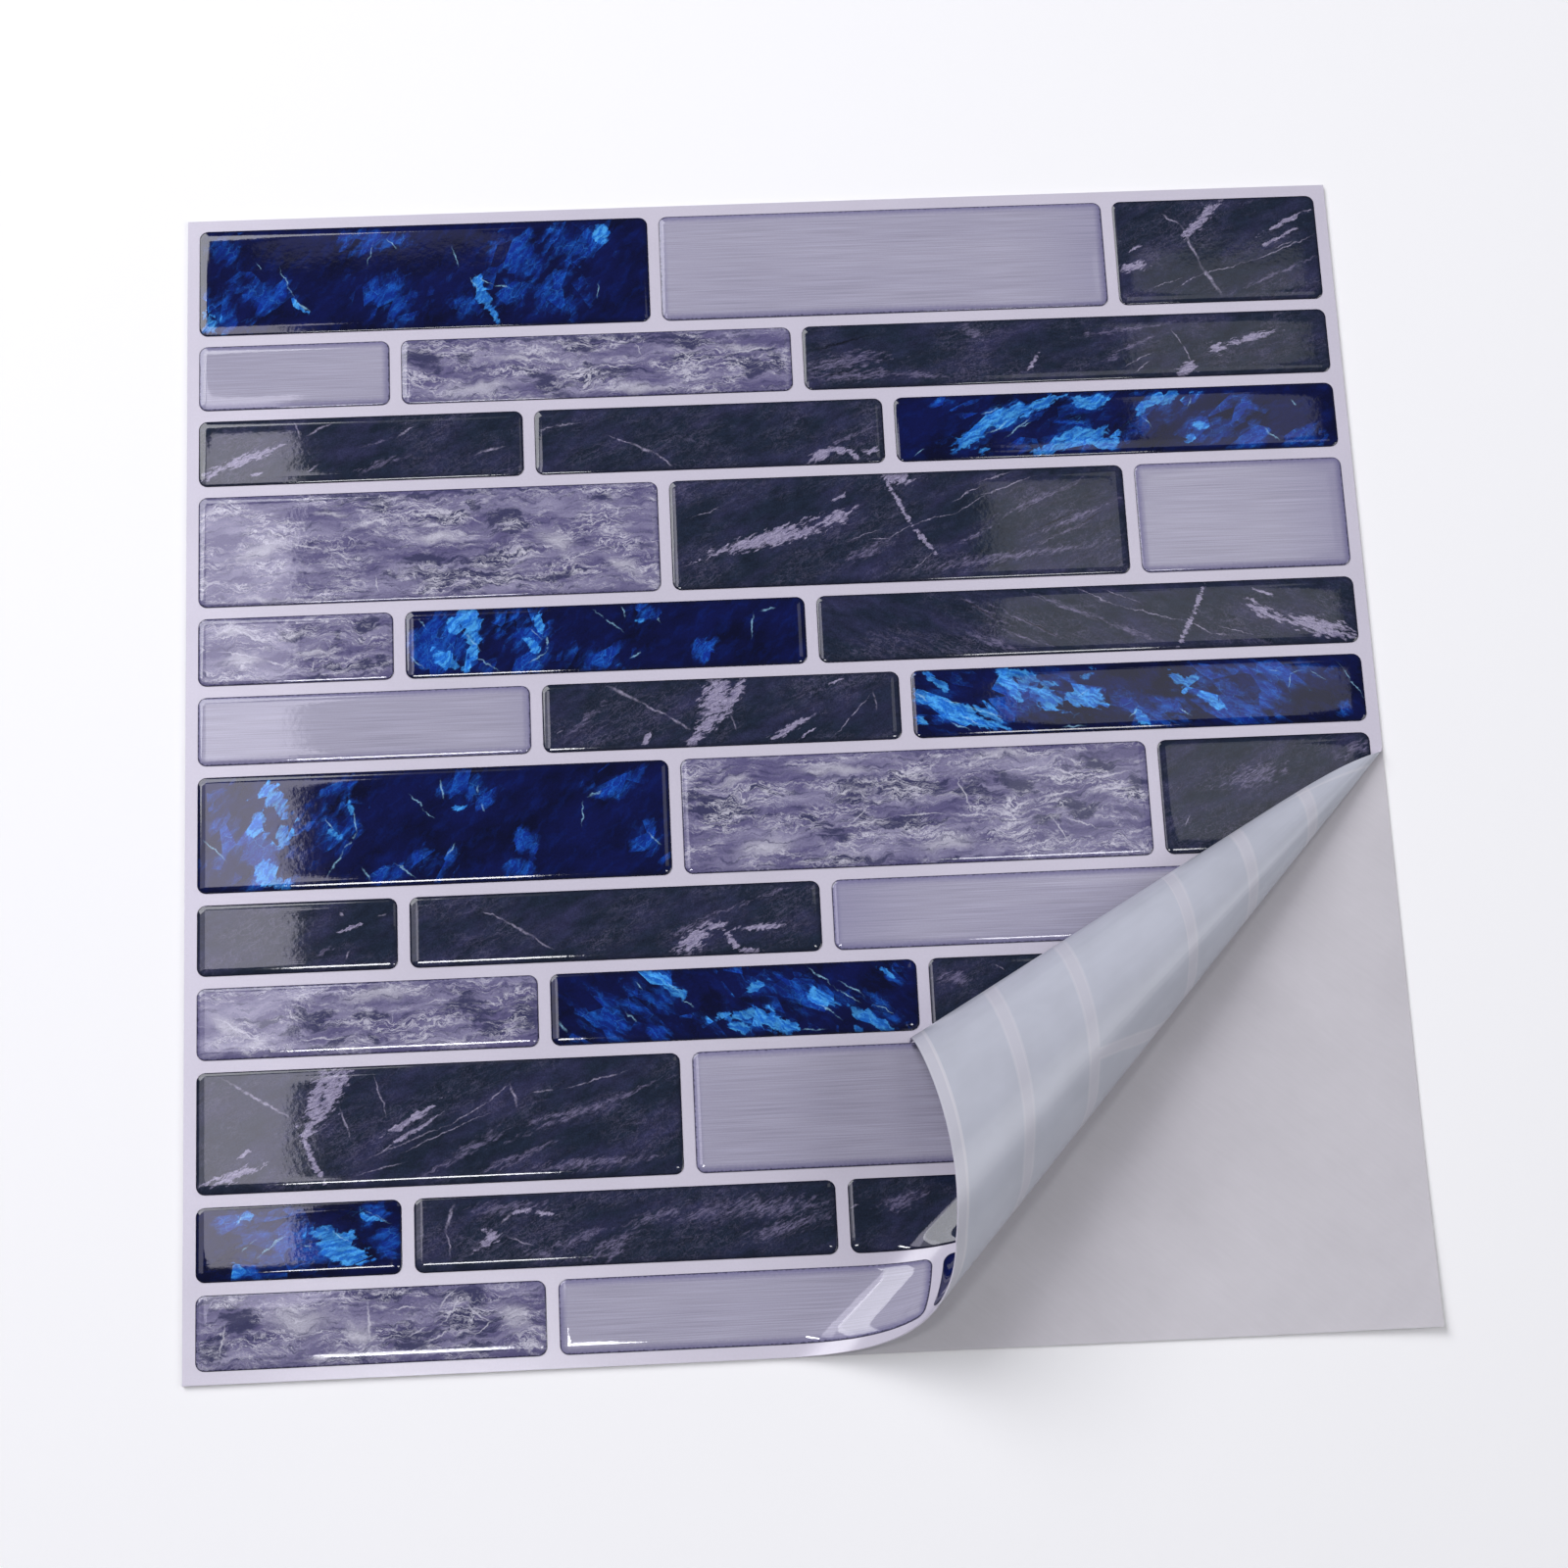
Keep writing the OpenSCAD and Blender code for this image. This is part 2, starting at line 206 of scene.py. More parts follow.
            (-14, 10.5, -9, 7.5, 0.6), (-9, 7.5, -4.5, -5, 1), (-5, -4, 0, -13, 1.1), (-19, -10.5, -10, -8, 0.3),
            (-12, -10.8, -5, -7, 0.3), (-6, -7.2, 8, -4, 0.4), (7, -4.4, 27, 3.5, 0.4), (15, -0.2, 20, 1.5, 0.3)],
        "bands": [
            (5, -11.5, 26, -3, 1.2)]},
    "r02_3": {
        "blades": [
            (43, 0, 54, 2.5, 1.8), (38.5, -1, 41, -1.5, 2.6), (-10, -5, -8, -2, 1.2), (29, -8, 33, -6, 3)],
        "veins": [
            (28, 4, 30.5, 0, 0.5), (30.5, 0, 32, -5, 0.5), (14, -6, 23, -1.5, 0.4), (17, -7.5, 22, -3.5, 0.4)],
        "bands": [
            (-68, -3, -48, 0, 5), (-66, -6, -45, -5, 3), (-45, -5, -33, -6.5, 2), (5, 3.5, 28, 6.5, 1.6),
            (9, -3, 26, 3.5, 1.2), (8, -3.5, 14, -3, 1.2), (-26, 7, -22, 4, 3)],
        "grooves": [
            (-68, 1.5, -50, 6, 1), (-66, -6, -52, -3, 0.4)]},
    "r03_1": {
        "blades": [
            (-38, -5, -22, 1, 2.2), (-40, -7, -37, -5.5, 1.2), (-28, -6.5, -25, -5.5, 0.8)],
        "veins": [
            (-14, 4, -7, 7.5, 0.7), (9, 2.5, 14, 5.5, 0.7), (29, -3, 37, -0.5, 0.8), (-17, 8, -15.5, 3, 0.6),
            (-14, -6, -11, -4, 0.7)],
        "bands": [
            (0, 0, 8, 2.5, 0.8), (0, -6, 10, -3, 2)]},
    "r03_2": {
        "blades": [
            (26, -7.5, 31, -5, 2.6), (31, -5, 36, -5.5, 1.6), (36, -6, 38, -8, 1.2), (40, -6, 43, -5.5, 1.4)],
        "veins": [
            (-26, 1, -20, -1.5, 0.5), (-20.5, -1.2, -14, -4.5, 0.8), (-14.5, -4.2, -9, -8.5, 0.6),
            (-44, 3, -40, 4, 0.5), (-40, 4, -33, 4.8, 0.5)],
        "bands": [
            (30, -4, 44, 1.5, 1.2)]},
    "r04_2": {
        "blades": [
            (-49, -6, -23, 2.6, 1.8), (-43, -4.2, -21.5, 0.2, 3.6), (-20, 1.5, -12.5, 4.6, 2.8),
            (-17, 7.6, -13.5, 9.2, 0.9), (-2, 14, 3, 12.5, 3), (-2.5, 12, 4, -1, 1.1), (3.7, -0.6, 8.5, -7, 1.2)],
        "veins": [
            (-14, -3.6, -4.5, -0.3, 0.3), (-8, -3.2, -2.5, -3, 0.3), (-3.2, -3, 3.4, 0.6, 0.3),
            (2.6, 0.4, 15.5, 3.4, 0.35), (14.5, 3, 23, 8, 0.35), (14, 6.2, 22, 10.5, 0.4),
            (20, 7.2, 36, 12.5, 0.4), (20, 11, 30, 14, 0.35), (-53, 4.2, -45, 7.5, 0.3), (2, -12.5, 9, -6.5, 0.3)],
        "bands": [
            (24, 1, 48, 11, 1.8), (14, -5.5, 24, -0.8, 1.2), (2, -12, 50, -6.6, 2.6), (-14, -8.5, -3, -4, 3),
            (35, -3.5, 56, 5, 1.5), (33, -7, 50, 0, 1)],
        "grooves": [
            (33, -3, 47, 3, 0.7), (44, -3, 54, 3.5, 0.6)]},
    "r05_3": {
        "blades": [
            (50.5, -2, 66, -5.5, 3.2), (56, -5, 67, -7, 2.6), (42, 2, 47, -1, 2.8), (46, -0.5, 52, -3, 1.2),
            (43, 6.5, 47, 4.5, 0.8), (30, 7, 27, 0, 1.3), (27.2, 0.5, 23, -7.5, 1.4)],
        "veins": [
            (-3, 9, 8.4, 2.8, 0.35), (7.6, 3.2, 26, -2, 0.35), (25.5, -1.8, 32, -5.5, 0.35),
            (31.5, -5.4, 36, -5.8, 0.35), (33, -3, 42, -6, 0.35), (4, 8, 14, 3.5, 0.35)],
        "bands": [
            (-14, 7, 5, -1, 1.8), (4, -0.6, 17, -6.5, 1.8), (-32, 7, -22, 0, 1.4), (-24, 4.5, -6, -5.5, 1.2),
            (-30, -3, -18, -8, 2), (-22, -2, -10, -7, 1.2)],
        "grooves": [
            (-33, 7.5, -22, 0, 0.7), (-20, 2.5, -5, -6, 0.7)]},
    "r06_2": {
        "blades": [
            (0, 8.5, -3, -1, 6), (6, 8.5, 0, -1, 3), (-1, 0, -6.5, -6, 3.4), (-6, -5.5, -8, -8, 2.5),
            (14, -6, 23, -2, 1.2), (13, -7.5, 18, -5, 1.5), (19, -8, 24, -4.5, 0.5), (27, 6, 31, 7.5, 0.5),
            (-20, -8, -18.5, -5.5, 1.2)],
        "veins": [
            (-28.5, 8, -20, 3, 1.1), (-20.5, 3.3, -13, -1, 0.7), (-13.5, -0.8, -8, -4.5, 0.8),
            (38, 3.5, 27.5, -8, 0.4), (38, 3.5, 39, -1, 0.6), (2, -1, 3.5, -5, 0.5), (-41.5, -4, -40, -3, 0.5)],
        "bands": [
            (-38, -4, -30, 3, 1.6)]},
    "r08_1": {
        "blades": [
            (10.5, 0.8, 15.5, 2.5, 0.8)],
        "veins": [
            (12, -6, 13, -4, 0.5), (10.5, 5.5, 11.2, 5, 0.8), (20, 4.5, 22, 5, 0.5)],
        "bands": [
            (4, -5, 9, -3, 1)]},
    "r08_2": {
        "blades": [
            (16, -7.5, 22, -2.5, 4.2), (22, -2.5, 27, -1, 1.6), (27, -3.5, 30, -7.5, 1.6),
            (30, -7.8, 35, -8, 1.2), (32, -2.5, 41, -2, 1.6)],
        "veins": [
            (-33, 4.5, -27, 2, 0.5), (-27.5, 2.2, -20, -2.5, 0.8), (-20.5, -2.2, -15.5, -6, 0.6)],
        "bands": [
            (20, 0, 34, 4.5, 1), (34, 4.5, 44, 8, 1), (14, -3, 24, 0, 2)]},
    "r10_1": {
        "blades": [
            (-27.5, 14, -31.5, 0, 3.6), (-22, 14, -30, 1.5, 3.6), (-25, 14, -27, 6, 5), (-31, 0.5, -33, -2, 2.4),
            (-33, -2, -28.5, -12, 1.5), (-12, -1.5, -2, 4, 1.6), (-12, -5, -1, 1.5, 0.9), (-55, -12, -44, -9, 2.2),
            (-48, -6, -45.5, -4.5, 0.8)],
        "veins": [
            (-53, 13.5, -33.5, 1.6, 0.8), (-24, 5, -21.5, -3, 0.6), (-16, 13, -12.5, 2, 0.5),
            (-18, -8, 2.6, -0.2, 0.4), (1.6, -0.8, 12.5, 5.2, 0.4), (11.5, 4.6, 17.3, 9.2, 0.5),
            (17.3, 9.2, 18.8, 3, 0.8), (-10, -7, 14, 3, 0.35), (-20, -11.5, -8, -9, 0.4), (30, 7, 46, 10.8, 0.5),
            (22, 6.5, 28, 7, 0.5)],
        "bands": [
            (0, -10, 15, -2.5, 2.6), (-4, -12, 10, -6, 1.2), (19, -4, 52, 7.5, 1.6), (20, -1, 40, 3, 1.5),
            (14, -12, 28, -5, 1.3), (10, -12, 20, -8, 1.6), (48, -2, 50, -1, 1.2), (22, -12, 50, -10.5, 3)]},
    "r11_2": {
        "blades": [
            (-36, -4, -31, -1, 1.4), (-33, 0, -31, -2, 2.2), (-27, 4.5, -22, 4.8, 1), (-22, 4.3, -17, 3.5, 1)],
        "veins": [
            (-41, 7, -43, 1, 1), (-43, 1.4, -42, -5, 0.6), (-30, 2, -27, 4.5, 0.6), (-28, -1.5, -22, -4, 0.5)],
        "bands": [
            (-36, 5.5, -20, 6, 3), (-25, -5, -18, -6.5, 2), (-18, -5, -5, 0, 2.5), (-10, -7, 2, -2, 3.2),
            (-6, -8, 0, -4, 2.6), (0, 0, 14, 4, 3), (14, 1, 24, 4.5, 2.6), (20, 3, 48, 3, 5), (30, -4, 46, 0, 4)]},
    "r07_3": {
        "bands": [
            (19, 9, 27, 12, 4), (-10, 3, 4, 6, 6)],
        "veins": [
            (-22, -8, -20, -5, 0.4)]},
    "r09_3": {
        "bands": [
            (-55, 4, -47, 3, 4), (-20, 0, 0, 3, 3)],
        "veins": [
            (-41, 6.5, -39, 5, 0.5)]},
    "r11_3": {
        "bands": [
            (-60, 2, -52, 4, 4)],
        "veins": [
            (-69, 2, -66, 2.6, 0.5)]},
    "r02_2": {
        "patches": [
            (-48, 5, -40, 2, 4), (-36, 3, -33, 3, 2), (-15, -3, -8, -6, 3.5), (-6, -2, 14, -2, 3),
            (-20, 0, -13, -2, 1.4), (-8, 6, 0, 6, 3), (20, 6, 32, 5, 2.5), (20, 2, 28, 1, 2.5),
            (34, 0, 44, -2, 4), (45, 2, 49, -4, 4), (-50, 8, 50, 8, 1), (8, 7, 18, 6, 2), (-3, 1, -1, -1, 1.6)],
        "lights": [
            (-40, -5, -22, -5, 5), (0, -7, 20, -7, 3), (30, 4, 44, 3, 3), (-28, 3, -14, 3, 2)],
        "veins": [
            (-10, -3, -2, -0.5, 0.5), (-2, -0.5, 12, -0.3, 0.5), (12, -0.3, 22, -2, 0.5), (22, -2, 32, 1.5, 0.6),
            (32, 1.5, 48, 3.5, 0.7), (-22, 3, -16, 1, 0.4), (20, 4, 28, -1, 0.4), (10, 6, 12, 2, 0.4)]},
    "r04_1": {
        "patches": [
            (-3, 7, 12, 7, 2.4), (14, 6, 24, 4, 4), (-6, -8, 20, -10, 6), (10, -4, 26, -3, 3),
            (-15, 12, -10, 11, 4), (11, 11, 14, 8, 1.6), (17, -9, 20, -12, 2), (-5, -4, 4, -4, 2),
            (42, 11, 46, 11, 2), (25, -9, 40, -9, 2), (-28, 14, -10, 13, 2.4), (-20, 14, 50, 14.5, 1)],
        "lights": [
            (-50, -3, -35, 2, 6), (-4, 2, 10, 1, 3.4), (28, 2, 36, -2, 7), (-50, -14, -30, -13.5, 2),
            (-30, 9, -20, 8, 2), (45, -6, 54, -10, 5)],
        "veins": [
            (-22, 5, -5, 8.3, 0.6), (-5, 8.3, 6, 8.5, 0.5), (6, 8.5, 14, 5, 0.5), (-36, 2, -26, -1, 0.6),
            (-26, -1, -18, -4, 0.6), (-14, -8, -13, -13, 0.5), (34, -6, 46, -2, 0.4), (10, -9, 22, -13, 0.5)]},
    "r05_1": {
        "patches": [
            (15, 6, 19, 5.5, 4), (14, -5, 18, -5, 3), (8, -4, 12, -5, 2), (20, -4, 23, -6, 3),
            (10, 2, 10.5, 2, 1.6), (2, -6, 8, -7, 2), (-4, 4, 4, 5, 2)],
        "lights": [
            (-18, -3, -8, -3, 4), (-20, 5, -10, 3, 3), (-2, -1, 10, -1, 3)],
        "veins": [
            (-20, 0, -8, -2.5, 0.5), (-8, -2.5, -2, -5, 0.5), (5, -3, 4, -6, 0.4), (-15, 6, -6, 5, 0.4)]},
    "r07_2": {
        "patches": [
            (-58, 4, -42, 1, 6), (-20, 5, -10, 4, 4), (-10, 5, 6, 5, 5), (-26, -5, -18, -8, 3.5),
            (-14, -4, 4, -4, 3.2), (-16, -1, -12, -3, 1.6), (-28, -13.5, -8, -13.5, 2), (-6, -14, 10, -14, 1),
            (10, 4, 18, 2, 4), (36, 0, 46, -2, 3.5), (40, 9, 50, 9, 3.5), (55, 4, 57, 4, 4), (30, -5, 34, -5, 3),
            (-40, 6, -34, 4, 1), (-30, 0, -26, -3, 1.6), (22, 5, 30, 4, 3), (50, 2, 57, 1, 2)],
        "lights": [
            (-45, -10, -30, -7, 6), (-30, 11, -8, 9, 4), (0, -10, 14, -9, 5), (15, 12, 30, 13, 3),
            (-48, 8, -42, 8, 3)],
        "veins": [
            (-20, -5, -6, -2.2, 0.6), (-6, -2.2, 8, -2.2, 0.5), (8, -2.2, 20, -3.5, 0.6), (20, -3.5, 30, 1, 0.8),
            (30, 1, 42, 2.5, 0.8), (42, 2.5, 56, 3, 0.7), (33, -3, 38, -12, 0.6), (20, 8, 34, 9, 0.5),
            (34, 9, 42, 5, 0.7), (42, 5, 55, 7, 0.7), (10, 8, 14, -2, 0.5), (-12, 1, -18, -5, 0.5),
            (25, -12, 36, -9, 0.5), (36, -4, 46, -8, 0.5)]},
    "r09_1": {
        "patches": [
            (-18, 1, -8, 0, 3.5), (-3, 1, 4, 0, 2.4), (20, 2, 30, 0, 5), (28, -3, 34, -3, 3.5),
            (38, 3, 39, -4, 4), (-20, -4, -17, -2, 2), (0, -4, 3, -6, 1.6), (-14, -6, -4, -6, 1.4),
            (-30, 1, -20, -1, 1.5)],
        "lights": [
            (-8, 5, 14, 6, 4), (-38, 2, -30, -3, 5), (-30, -6, -24, -4, 3)],
        "veins": [
            (-38, 2, -28, -4, 0.5), (-34, 0, -24, -6, 0.5), (-18, -5, -4, -4.5, 0.5), (14, 3, 20, 4, 0.4),
            (-20, 3, -16, -1, 0.4)]},
    "r10_3": {
        "patches": [
            (-10, 5, 10, 0, 8), (12, -6, 22, -10, 4)],
        "lights": [
            (-20, -8, 0, -10, 5)],
        "veins": [
            (-20, 0, 4, 6, 0.6)]},
    "r12_1": {
        "patches": [
            (-39, -2, -36, -6, 5), (-34, 4, -28, 0, 5), (4, -2, 16, -3, 5), (18, 0, 28, 0, 6),
            (-40, 8, -30, 8, 2), (-4, 8, 20, 7.5, 2.4), (20, 6, 26, 6, 4), (20, -6, 28, -7, 3),
            (-10, -7, 0, -7, 1.5)],
        "lights": [
            (-26, 3, -8, 2, 8), (-5, 0, 0, -2, 5), (30, 3, 37, -2, 8), (-20, -6, 0, -6, 2)],
        "veins": [
            (-1, 6, 0, -4, 0.8), (4, 3.8, 12, 4, 0.5), (16, -1, 22, 6, 0.6), (8, -3, 14, -1, 0.5),
            (12, -5, 20, -1, 0.5), (22, 4, 29, -1, 0.6), (24, -4, 29, 0, 0.5), (-36, -6, -34, 2, 0.6),
            (16, 3, 20, 8, 0.6)]},
}


def linear(code):
    """The linear RGBA of an sRGB hex code."""
    parts = [int(code[i:i + 2], 16) / 255 for i in (1, 3, 5)]
    return tuple(p / 12.92 if p <= 0.04045 else ((p + 0.055) / 1.055) ** 2.4 for p in parts) + (1.0,)


def length(name, text, default):
    """A length property with its default in millimetres."""
    return FloatProperty(name=name, description=text, default=default * MM, min=0.0, precision=5, subtype="DISTANCE",
                         unit="LENGTH")


def angle(name, text, default):
    """An angle property with its default in degrees."""
    return FloatProperty(name=name, description=text, default=math.radians(default), subtype="ANGLE",
                         unit="ROTATION")


def colour(name, text, code):
    """A colour property with its default as an sRGB hex code."""
    return FloatVectorProperty(name=name, description=text, default=linear(code), size=4, min=0.0, max=1.0,
                               subtype="COLOR")


class SheetSizes(bpy.types.PropertyGroup):
    """Sizes of the liner, the film and the gel tiles."""
    side: length("Side", "Width and height of the sheet", (LINER_HIGH[0] - LINER_LOW[0]) / MM)
    liner_t: length("Liner thickness", "Thickness of the release liner", (LINER_HIGH[2] - LINER_LOW[2]) / MM)
    film_t: length("Film thickness", "Thickness of the printed film", 0.35)
    gel_wall: length("Gel wall", "Height of the gel's steep outer wall", 0.135)
    gel_t: length("Gel thickness", "Height of the gel over the film", 0.6)
    corner_r: length("Tile corner", "Radius of a tile's corners seen from above", 2.2)
    tall_h: length("Tall row", "Height of the tiles in a tall row", 29.6)
    low_h: length("Low row", "Height of the tiles in a low row", 17.8)
    joint: length("Joint", "Bare film between two tiles", 3.0)
    margin: length("Margin", "Bare film round the tiles", 3.1)
    tall_first: length("Tall row, first", "Width of the first tile of a tall row", 117)
    tall_second: length("Tall row, second", "Width of the second tile of a tall row", 117)
    middle_first: length("Middle row, first", "Width of the first tile of a middle row", 49)
    middle_second: length("Middle row, second", "Width of the second tile of a middle row", 101.2)
    lower_first: length("Lower row, first", "Width of the first tile of a lower row", 83)
    lower_second: length("Lower row, second", "Width of the second tile of a lower row", 90)
    curl: length("Liner corner", "How far the bare liner's corner has lifted", 1.6)
    curl_reach: length("Lift reach", "Length along both edges together where the lift starts", 55)
    liner_cuts: IntProperty(name="Liner cuts", description="Cuts each way that let the liner bend", default=39, min=1)


class RollShape(bpy.types.PropertyGroup):
    """The rolled corner: where it starts and how it bends."""
    peel_rise: length("Peel rise", "How far up the right edge the film is off its liner", 145)
    peel_angle: angle("Peel angle", "Tilt of the line where the film leaves the liner", 42)
    tip_out: length("Tip", "How far outside the right edge the lines of the roll meet", 6)
    front_fan: angle("Front fan", "Share of the fan of lines that the front bend takes", 14)
    front_turn: angle("Front turn", "How far the front bend turns", 137.5)
    top_fan: angle("Top fan", "Share of the fan of lines that the top takes", 20)
    top_turn: angle("Top turn", "How far the top turns", 125)
    hang_bend: FloatProperty(name="Hanging bend", description="Bend of the hanging side against its fan", default=2.0)
    take_up: FloatProperty(name="Take-up", description="Share of the flat fan that the roll takes up past its front",
                           default=0.755)
    step: angle("Line spacing", "Fan angle between two modelled lines of the roll", 0.5)


class PrintColours(bpy.types.PropertyGroup):
    """Colours of the print, the film, its back and the liner."""
    joint: colour("Joint", "Bare film between the tiles", "#cfcad8")
    back: colour("Film back", "Adhesive back of the film", "#b9bcc7")
    show_through: colour("Show-through", "Joints seen through the film's back", "#c6c4cd")
    back_line: colour("Back line", "Outlines of the joints and of the border on the film's back", "#d9d6da")
    liner: colour("Liner", "Silicone-coated paper", "#ccc9ce")
    blue_deep: colour("Blue, deep", "Ground of the blue marble", "#060a2c")
    blue_night: colour("Blue, night", "Lighter ground of the blue marble", "#0b1349")
    blue_mid: colour("Blue, middle", "Clouds of the blue marble", "#0c2c84")
    blue_light: colour("Blue, light", "Lighter clouds and facets of the blue marble", "#1c63bd")
    blue_bright: colour("Blue, bright", "Facets of the blue marble", "#4a9fdf")
    blue_crack: colour("Blue, crack", "Thin light cracks of the blue marble", "#9fd4f2")
    dark_ground: colour("Slate, ground", "Ground of the dark slate marble", "#1d2638")
    dark_cloud: colour("Slate, cloud", "Purple clouds of the slate marble", "#37365a")
    dark_streak: colour("Slate, streak", "Streaks and blades of the slate marble", "#7d7797")
    dark_vein: colour("Slate, vein", "Thin veins of the slate marble", "#a9a3bd")
    dark_groove: colour("Slate, groove", "Dark lines of the slate marble", "#10141f")
    pale_ground: colour("Pale, ground", "Ground of the pale marble", "#9692ae")
    pale_shade: colour("Pale, shade", "Darker lilac of the pale marble", "#625d83")
    pale_light: colour("Pale, light", "Lightest areas of the pale marble", "#bab8c6")
    pale_patch: colour("Pale, patch", "Indigo patches of the pale marble", "#3a3b5c")
    pale_vein: colour("Pale, vein", "Crinkled white veins of the pale marble", "#cfcdda")
    silver_ground: colour("Silver, ground", "Brushed silver print", "#a6a3b7")
    silver_light: colour("Silver, light", "Lighter streaks of the brushed silver print", "#b1aec0")
    silver_edge: colour("Silver, edge", "Shaded side of the brushed silver print", "#8481a3")
    # The tile rim is partly the print's outline and partly painted shade: the dark edge that the thick gel wall shows.
    rim: colour("Tile rim", "Thin dark line at the foot of each tile", "#17182c")


class StudioValues(bpy.types.PropertyGroup):
    """Floor, light and camera."""
    floor: colour("Floor", "Plain pale floor", "#ffffff")
    floor_side: length("Floor side", "Width and depth of the floor", 6000)
    floor_gap: length("Floor gap", "How far under the sheet the floor lies", 0.5)
    sky: FloatProperty(name="Sky", description="Strength of the even light from all round", default=0.12)
    sky_light: colour("Sky light", "Colour of the even light from all round", "#f4f5f8")
    window_light: colour("Window light", "Colour of the window's lamps", "#f3efff")
    lamp_light: colour("Lamp light", "Colour of all other lamps", "#fbfbff")
    lens: FloatProperty(name="Lens", description="Focal length on a 36 mm sensor", default=67.5, unit="CAMERA")


def tile_layout(sizes):
    """Name, finish, centre and size of each tile on the flat sheet, from the top row down."""
    half = sizes.side / 2
    firsts = [(sizes.tall_first, sizes.tall_second), (sizes.middle_first, sizes.middle_second),
              (sizes.lower_first, sizes.lower_second)]
    tiles = []
    top = half - sizes.margin
    for row, finishes in enumerate(ROW_FINISHES):
        high = sizes.tall_h if row % 3 == 0 else sizes.low_h
        first, second = firsts[row % 3]
        left = -half + sizes.margin
        third = sizes.side - 2 * sizes.margin - 2 * sizes.joint - first - second
        for column, (wide, finish) in enumerate(zip((first, second, third), finishes)):
            name = f"r{row + 1:02d}_{column + 1}"
            tiles.append((name, finish, Vector((left + wide / 2, top - high / 2)), Vector((wide, high))))
            left += wide + sizes.joint
        top -= high + sizes.joint
    return tiles


# The rolled corner.

def roll_lines(sizes, shape):
    """The point where all straight lines of the roll meet, and the directions along and across its first line."""
    half = sizes.side / 2
    tip = Vector((half + shape.tip_out, -half + shape.peel_rise + shape.tip_out * math.tan(shape.peel_angle)))
    out = Vector((-math.cos(shape.peel_angle), -math.sin(shape.peel_angle)))
    return tip, out, Vector((-out.y, out.x))


def fan_of(point, lines):
    """Fan angle of a flat point from the roll's first line, positive on the rolled side."""
    tip, out, side = lines
    away = Vector(point[:2]) - tip
    return math.atan2(away.dot(side), away.dot(out))


def rolled(point, sizes, shape, lines):
    """Where a point of the flat sheet ends up. Its height over the liner stays square to the film."""
    tip, out, side = lines
    fan = fan_of(point, lines)
    if fan <= 0:
        return Vector(point)
    if fan > shape.front_fan:
        fan = shape.front_fan + shape.take_up * (fan - shape.front_fan)
    along, across, up = out.to_3d(), side.to_3d(), Vector((0, 0, 1))
    zones = ((shape.front_fan, math.sqrt((shape.front_turn / shape.front_fan) ** 2 - 1)),
             (shape.top_fan, math.sqrt((shape.top_turn / shape.top_fan) ** 2 - 1)),
             (math.pi, shape.hang_bend))
    for width, bend in zones:
        part = min(fan, width)
        if part <= 0:
            break
        axis = up + bend * along
        turn = Quaternion(axis, axis.length * part)
        along, across, up = turn @ along, turn @ across, turn @ up
        fan -= part
    reach = (Vector(point[:2]) - tip).length
    return Vector((tip.x, tip.y, sizes.liner_t)) + reach * along + (point[2] - sizes.liner_t) * up


def cut_along_roll(piece, sizes, shape):
    """Cuts the flat piece along the straight lines of the roll."""
    lines = roll_lines(sizes, shape)
    tip, out, side = lines
    # Two cuts come before the roll, and the last one stays clear of the piece's far corner.
    fan = -2 * shape.step
    last = max(fan_of(v.co, lines) for v in piece.data.vertices) - 0.2 * shape.step
    bpy.context.view_layer.objects.active = piece
    bpy.ops.object.mode_set(mode="EDIT")
    while fan < last:
        normal = side * math.cos(fan) - out * math.sin(fan)
        bpy.ops.mesh.select_all(action="SELECT")
        bpy.ops.mesh.bisect(plane_co=(tip.x, tip.y, 0), plane_no=(normal.x, normal.y, 0), threshold=1e-7)
        fan += shape.step
    bpy.ops.object.mode_set(mode="OBJECT")


def roll_up(piece, sizes, shape):
    """Moves the piece's vertices onto the roll."""
    lines = roll_lines(sizes, shape)
    for vertex in piece.data.vertices:
        vertex.co = rolled(vertex.co, sizes, shape, lines)
    piece.data.update()


# Modelling helpers.

def alone(piece):
    """Selects only the piece and makes it active."""
    bpy.ops.object.select_all(action="DESELECT")
    piece.select_set(True)
    bpy.context.view_layer.objects.active = piece


def add_block(name, size, centre):
    """A box at its size and place, with its place in its mesh."""
    bpy.ops.object.select_all(action="DESELECT")
    bpy.ops.mesh.primitive_cube_add(size=1.0, location=centre)
    piece = bpy.context.object
    piece.name = piece.data.name = name
    piece.scale = size
    bpy.ops.object.transform_apply(location=True, rotation=True, scale=True)
    return piece


def pick(piece, kind, test):
    """Selects in edit mode the vertices, edges or faces that pass the test; the piece is in object mode."""
    alone(piece)
    bpy.ops.object.mode_set(mode="EDIT")
    bpy.ops.mesh.select_mode(type=kind)
    bpy.ops.mesh.select_all(action="DESELECT")
    bpy.ops.object.mode_set(mode="OBJECT")
    mesh = piece.data
    parts = {"VERT": mesh.vertices, "EDGE": mesh.edges, "FACE": mesh.polygons}[kind]
    for part in parts:
        part.select = test(part)
    bpy.ops.object.mode_set(mode="EDIT")


def flat_uv(piece, layer, origin):
    """Writes each corner's place on the flat sheet, in millimetres from the origin, into a UV map."""
    mesh = piece.data
    while mesh.uv_layers:
        mesh.uv_layers.remove(mesh.uv_layers[0])
    uv = mesh.uv_layers.new(name=layer)
    for loop in mesh.loops:
        place = mesh.vertices[loop.vertex_index].co
        uv.data[loop.index].uv = ((place.x - origin[0]) / MM, (place.y - origin[1]) / MM)


def smooth(piece, angle):
    """Shades the piece smooth up to that edge angle in degrees."""
    alone(piece)
    bpy.ops.object.shade_smooth_by_angle(angle=math.radians(angle), keep_sharp_edges=True)


def hand_over(piece, node):
    """The piece stands for its solid and rides with it."""
    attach(piece, "root")
    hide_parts(node)


# Materials.

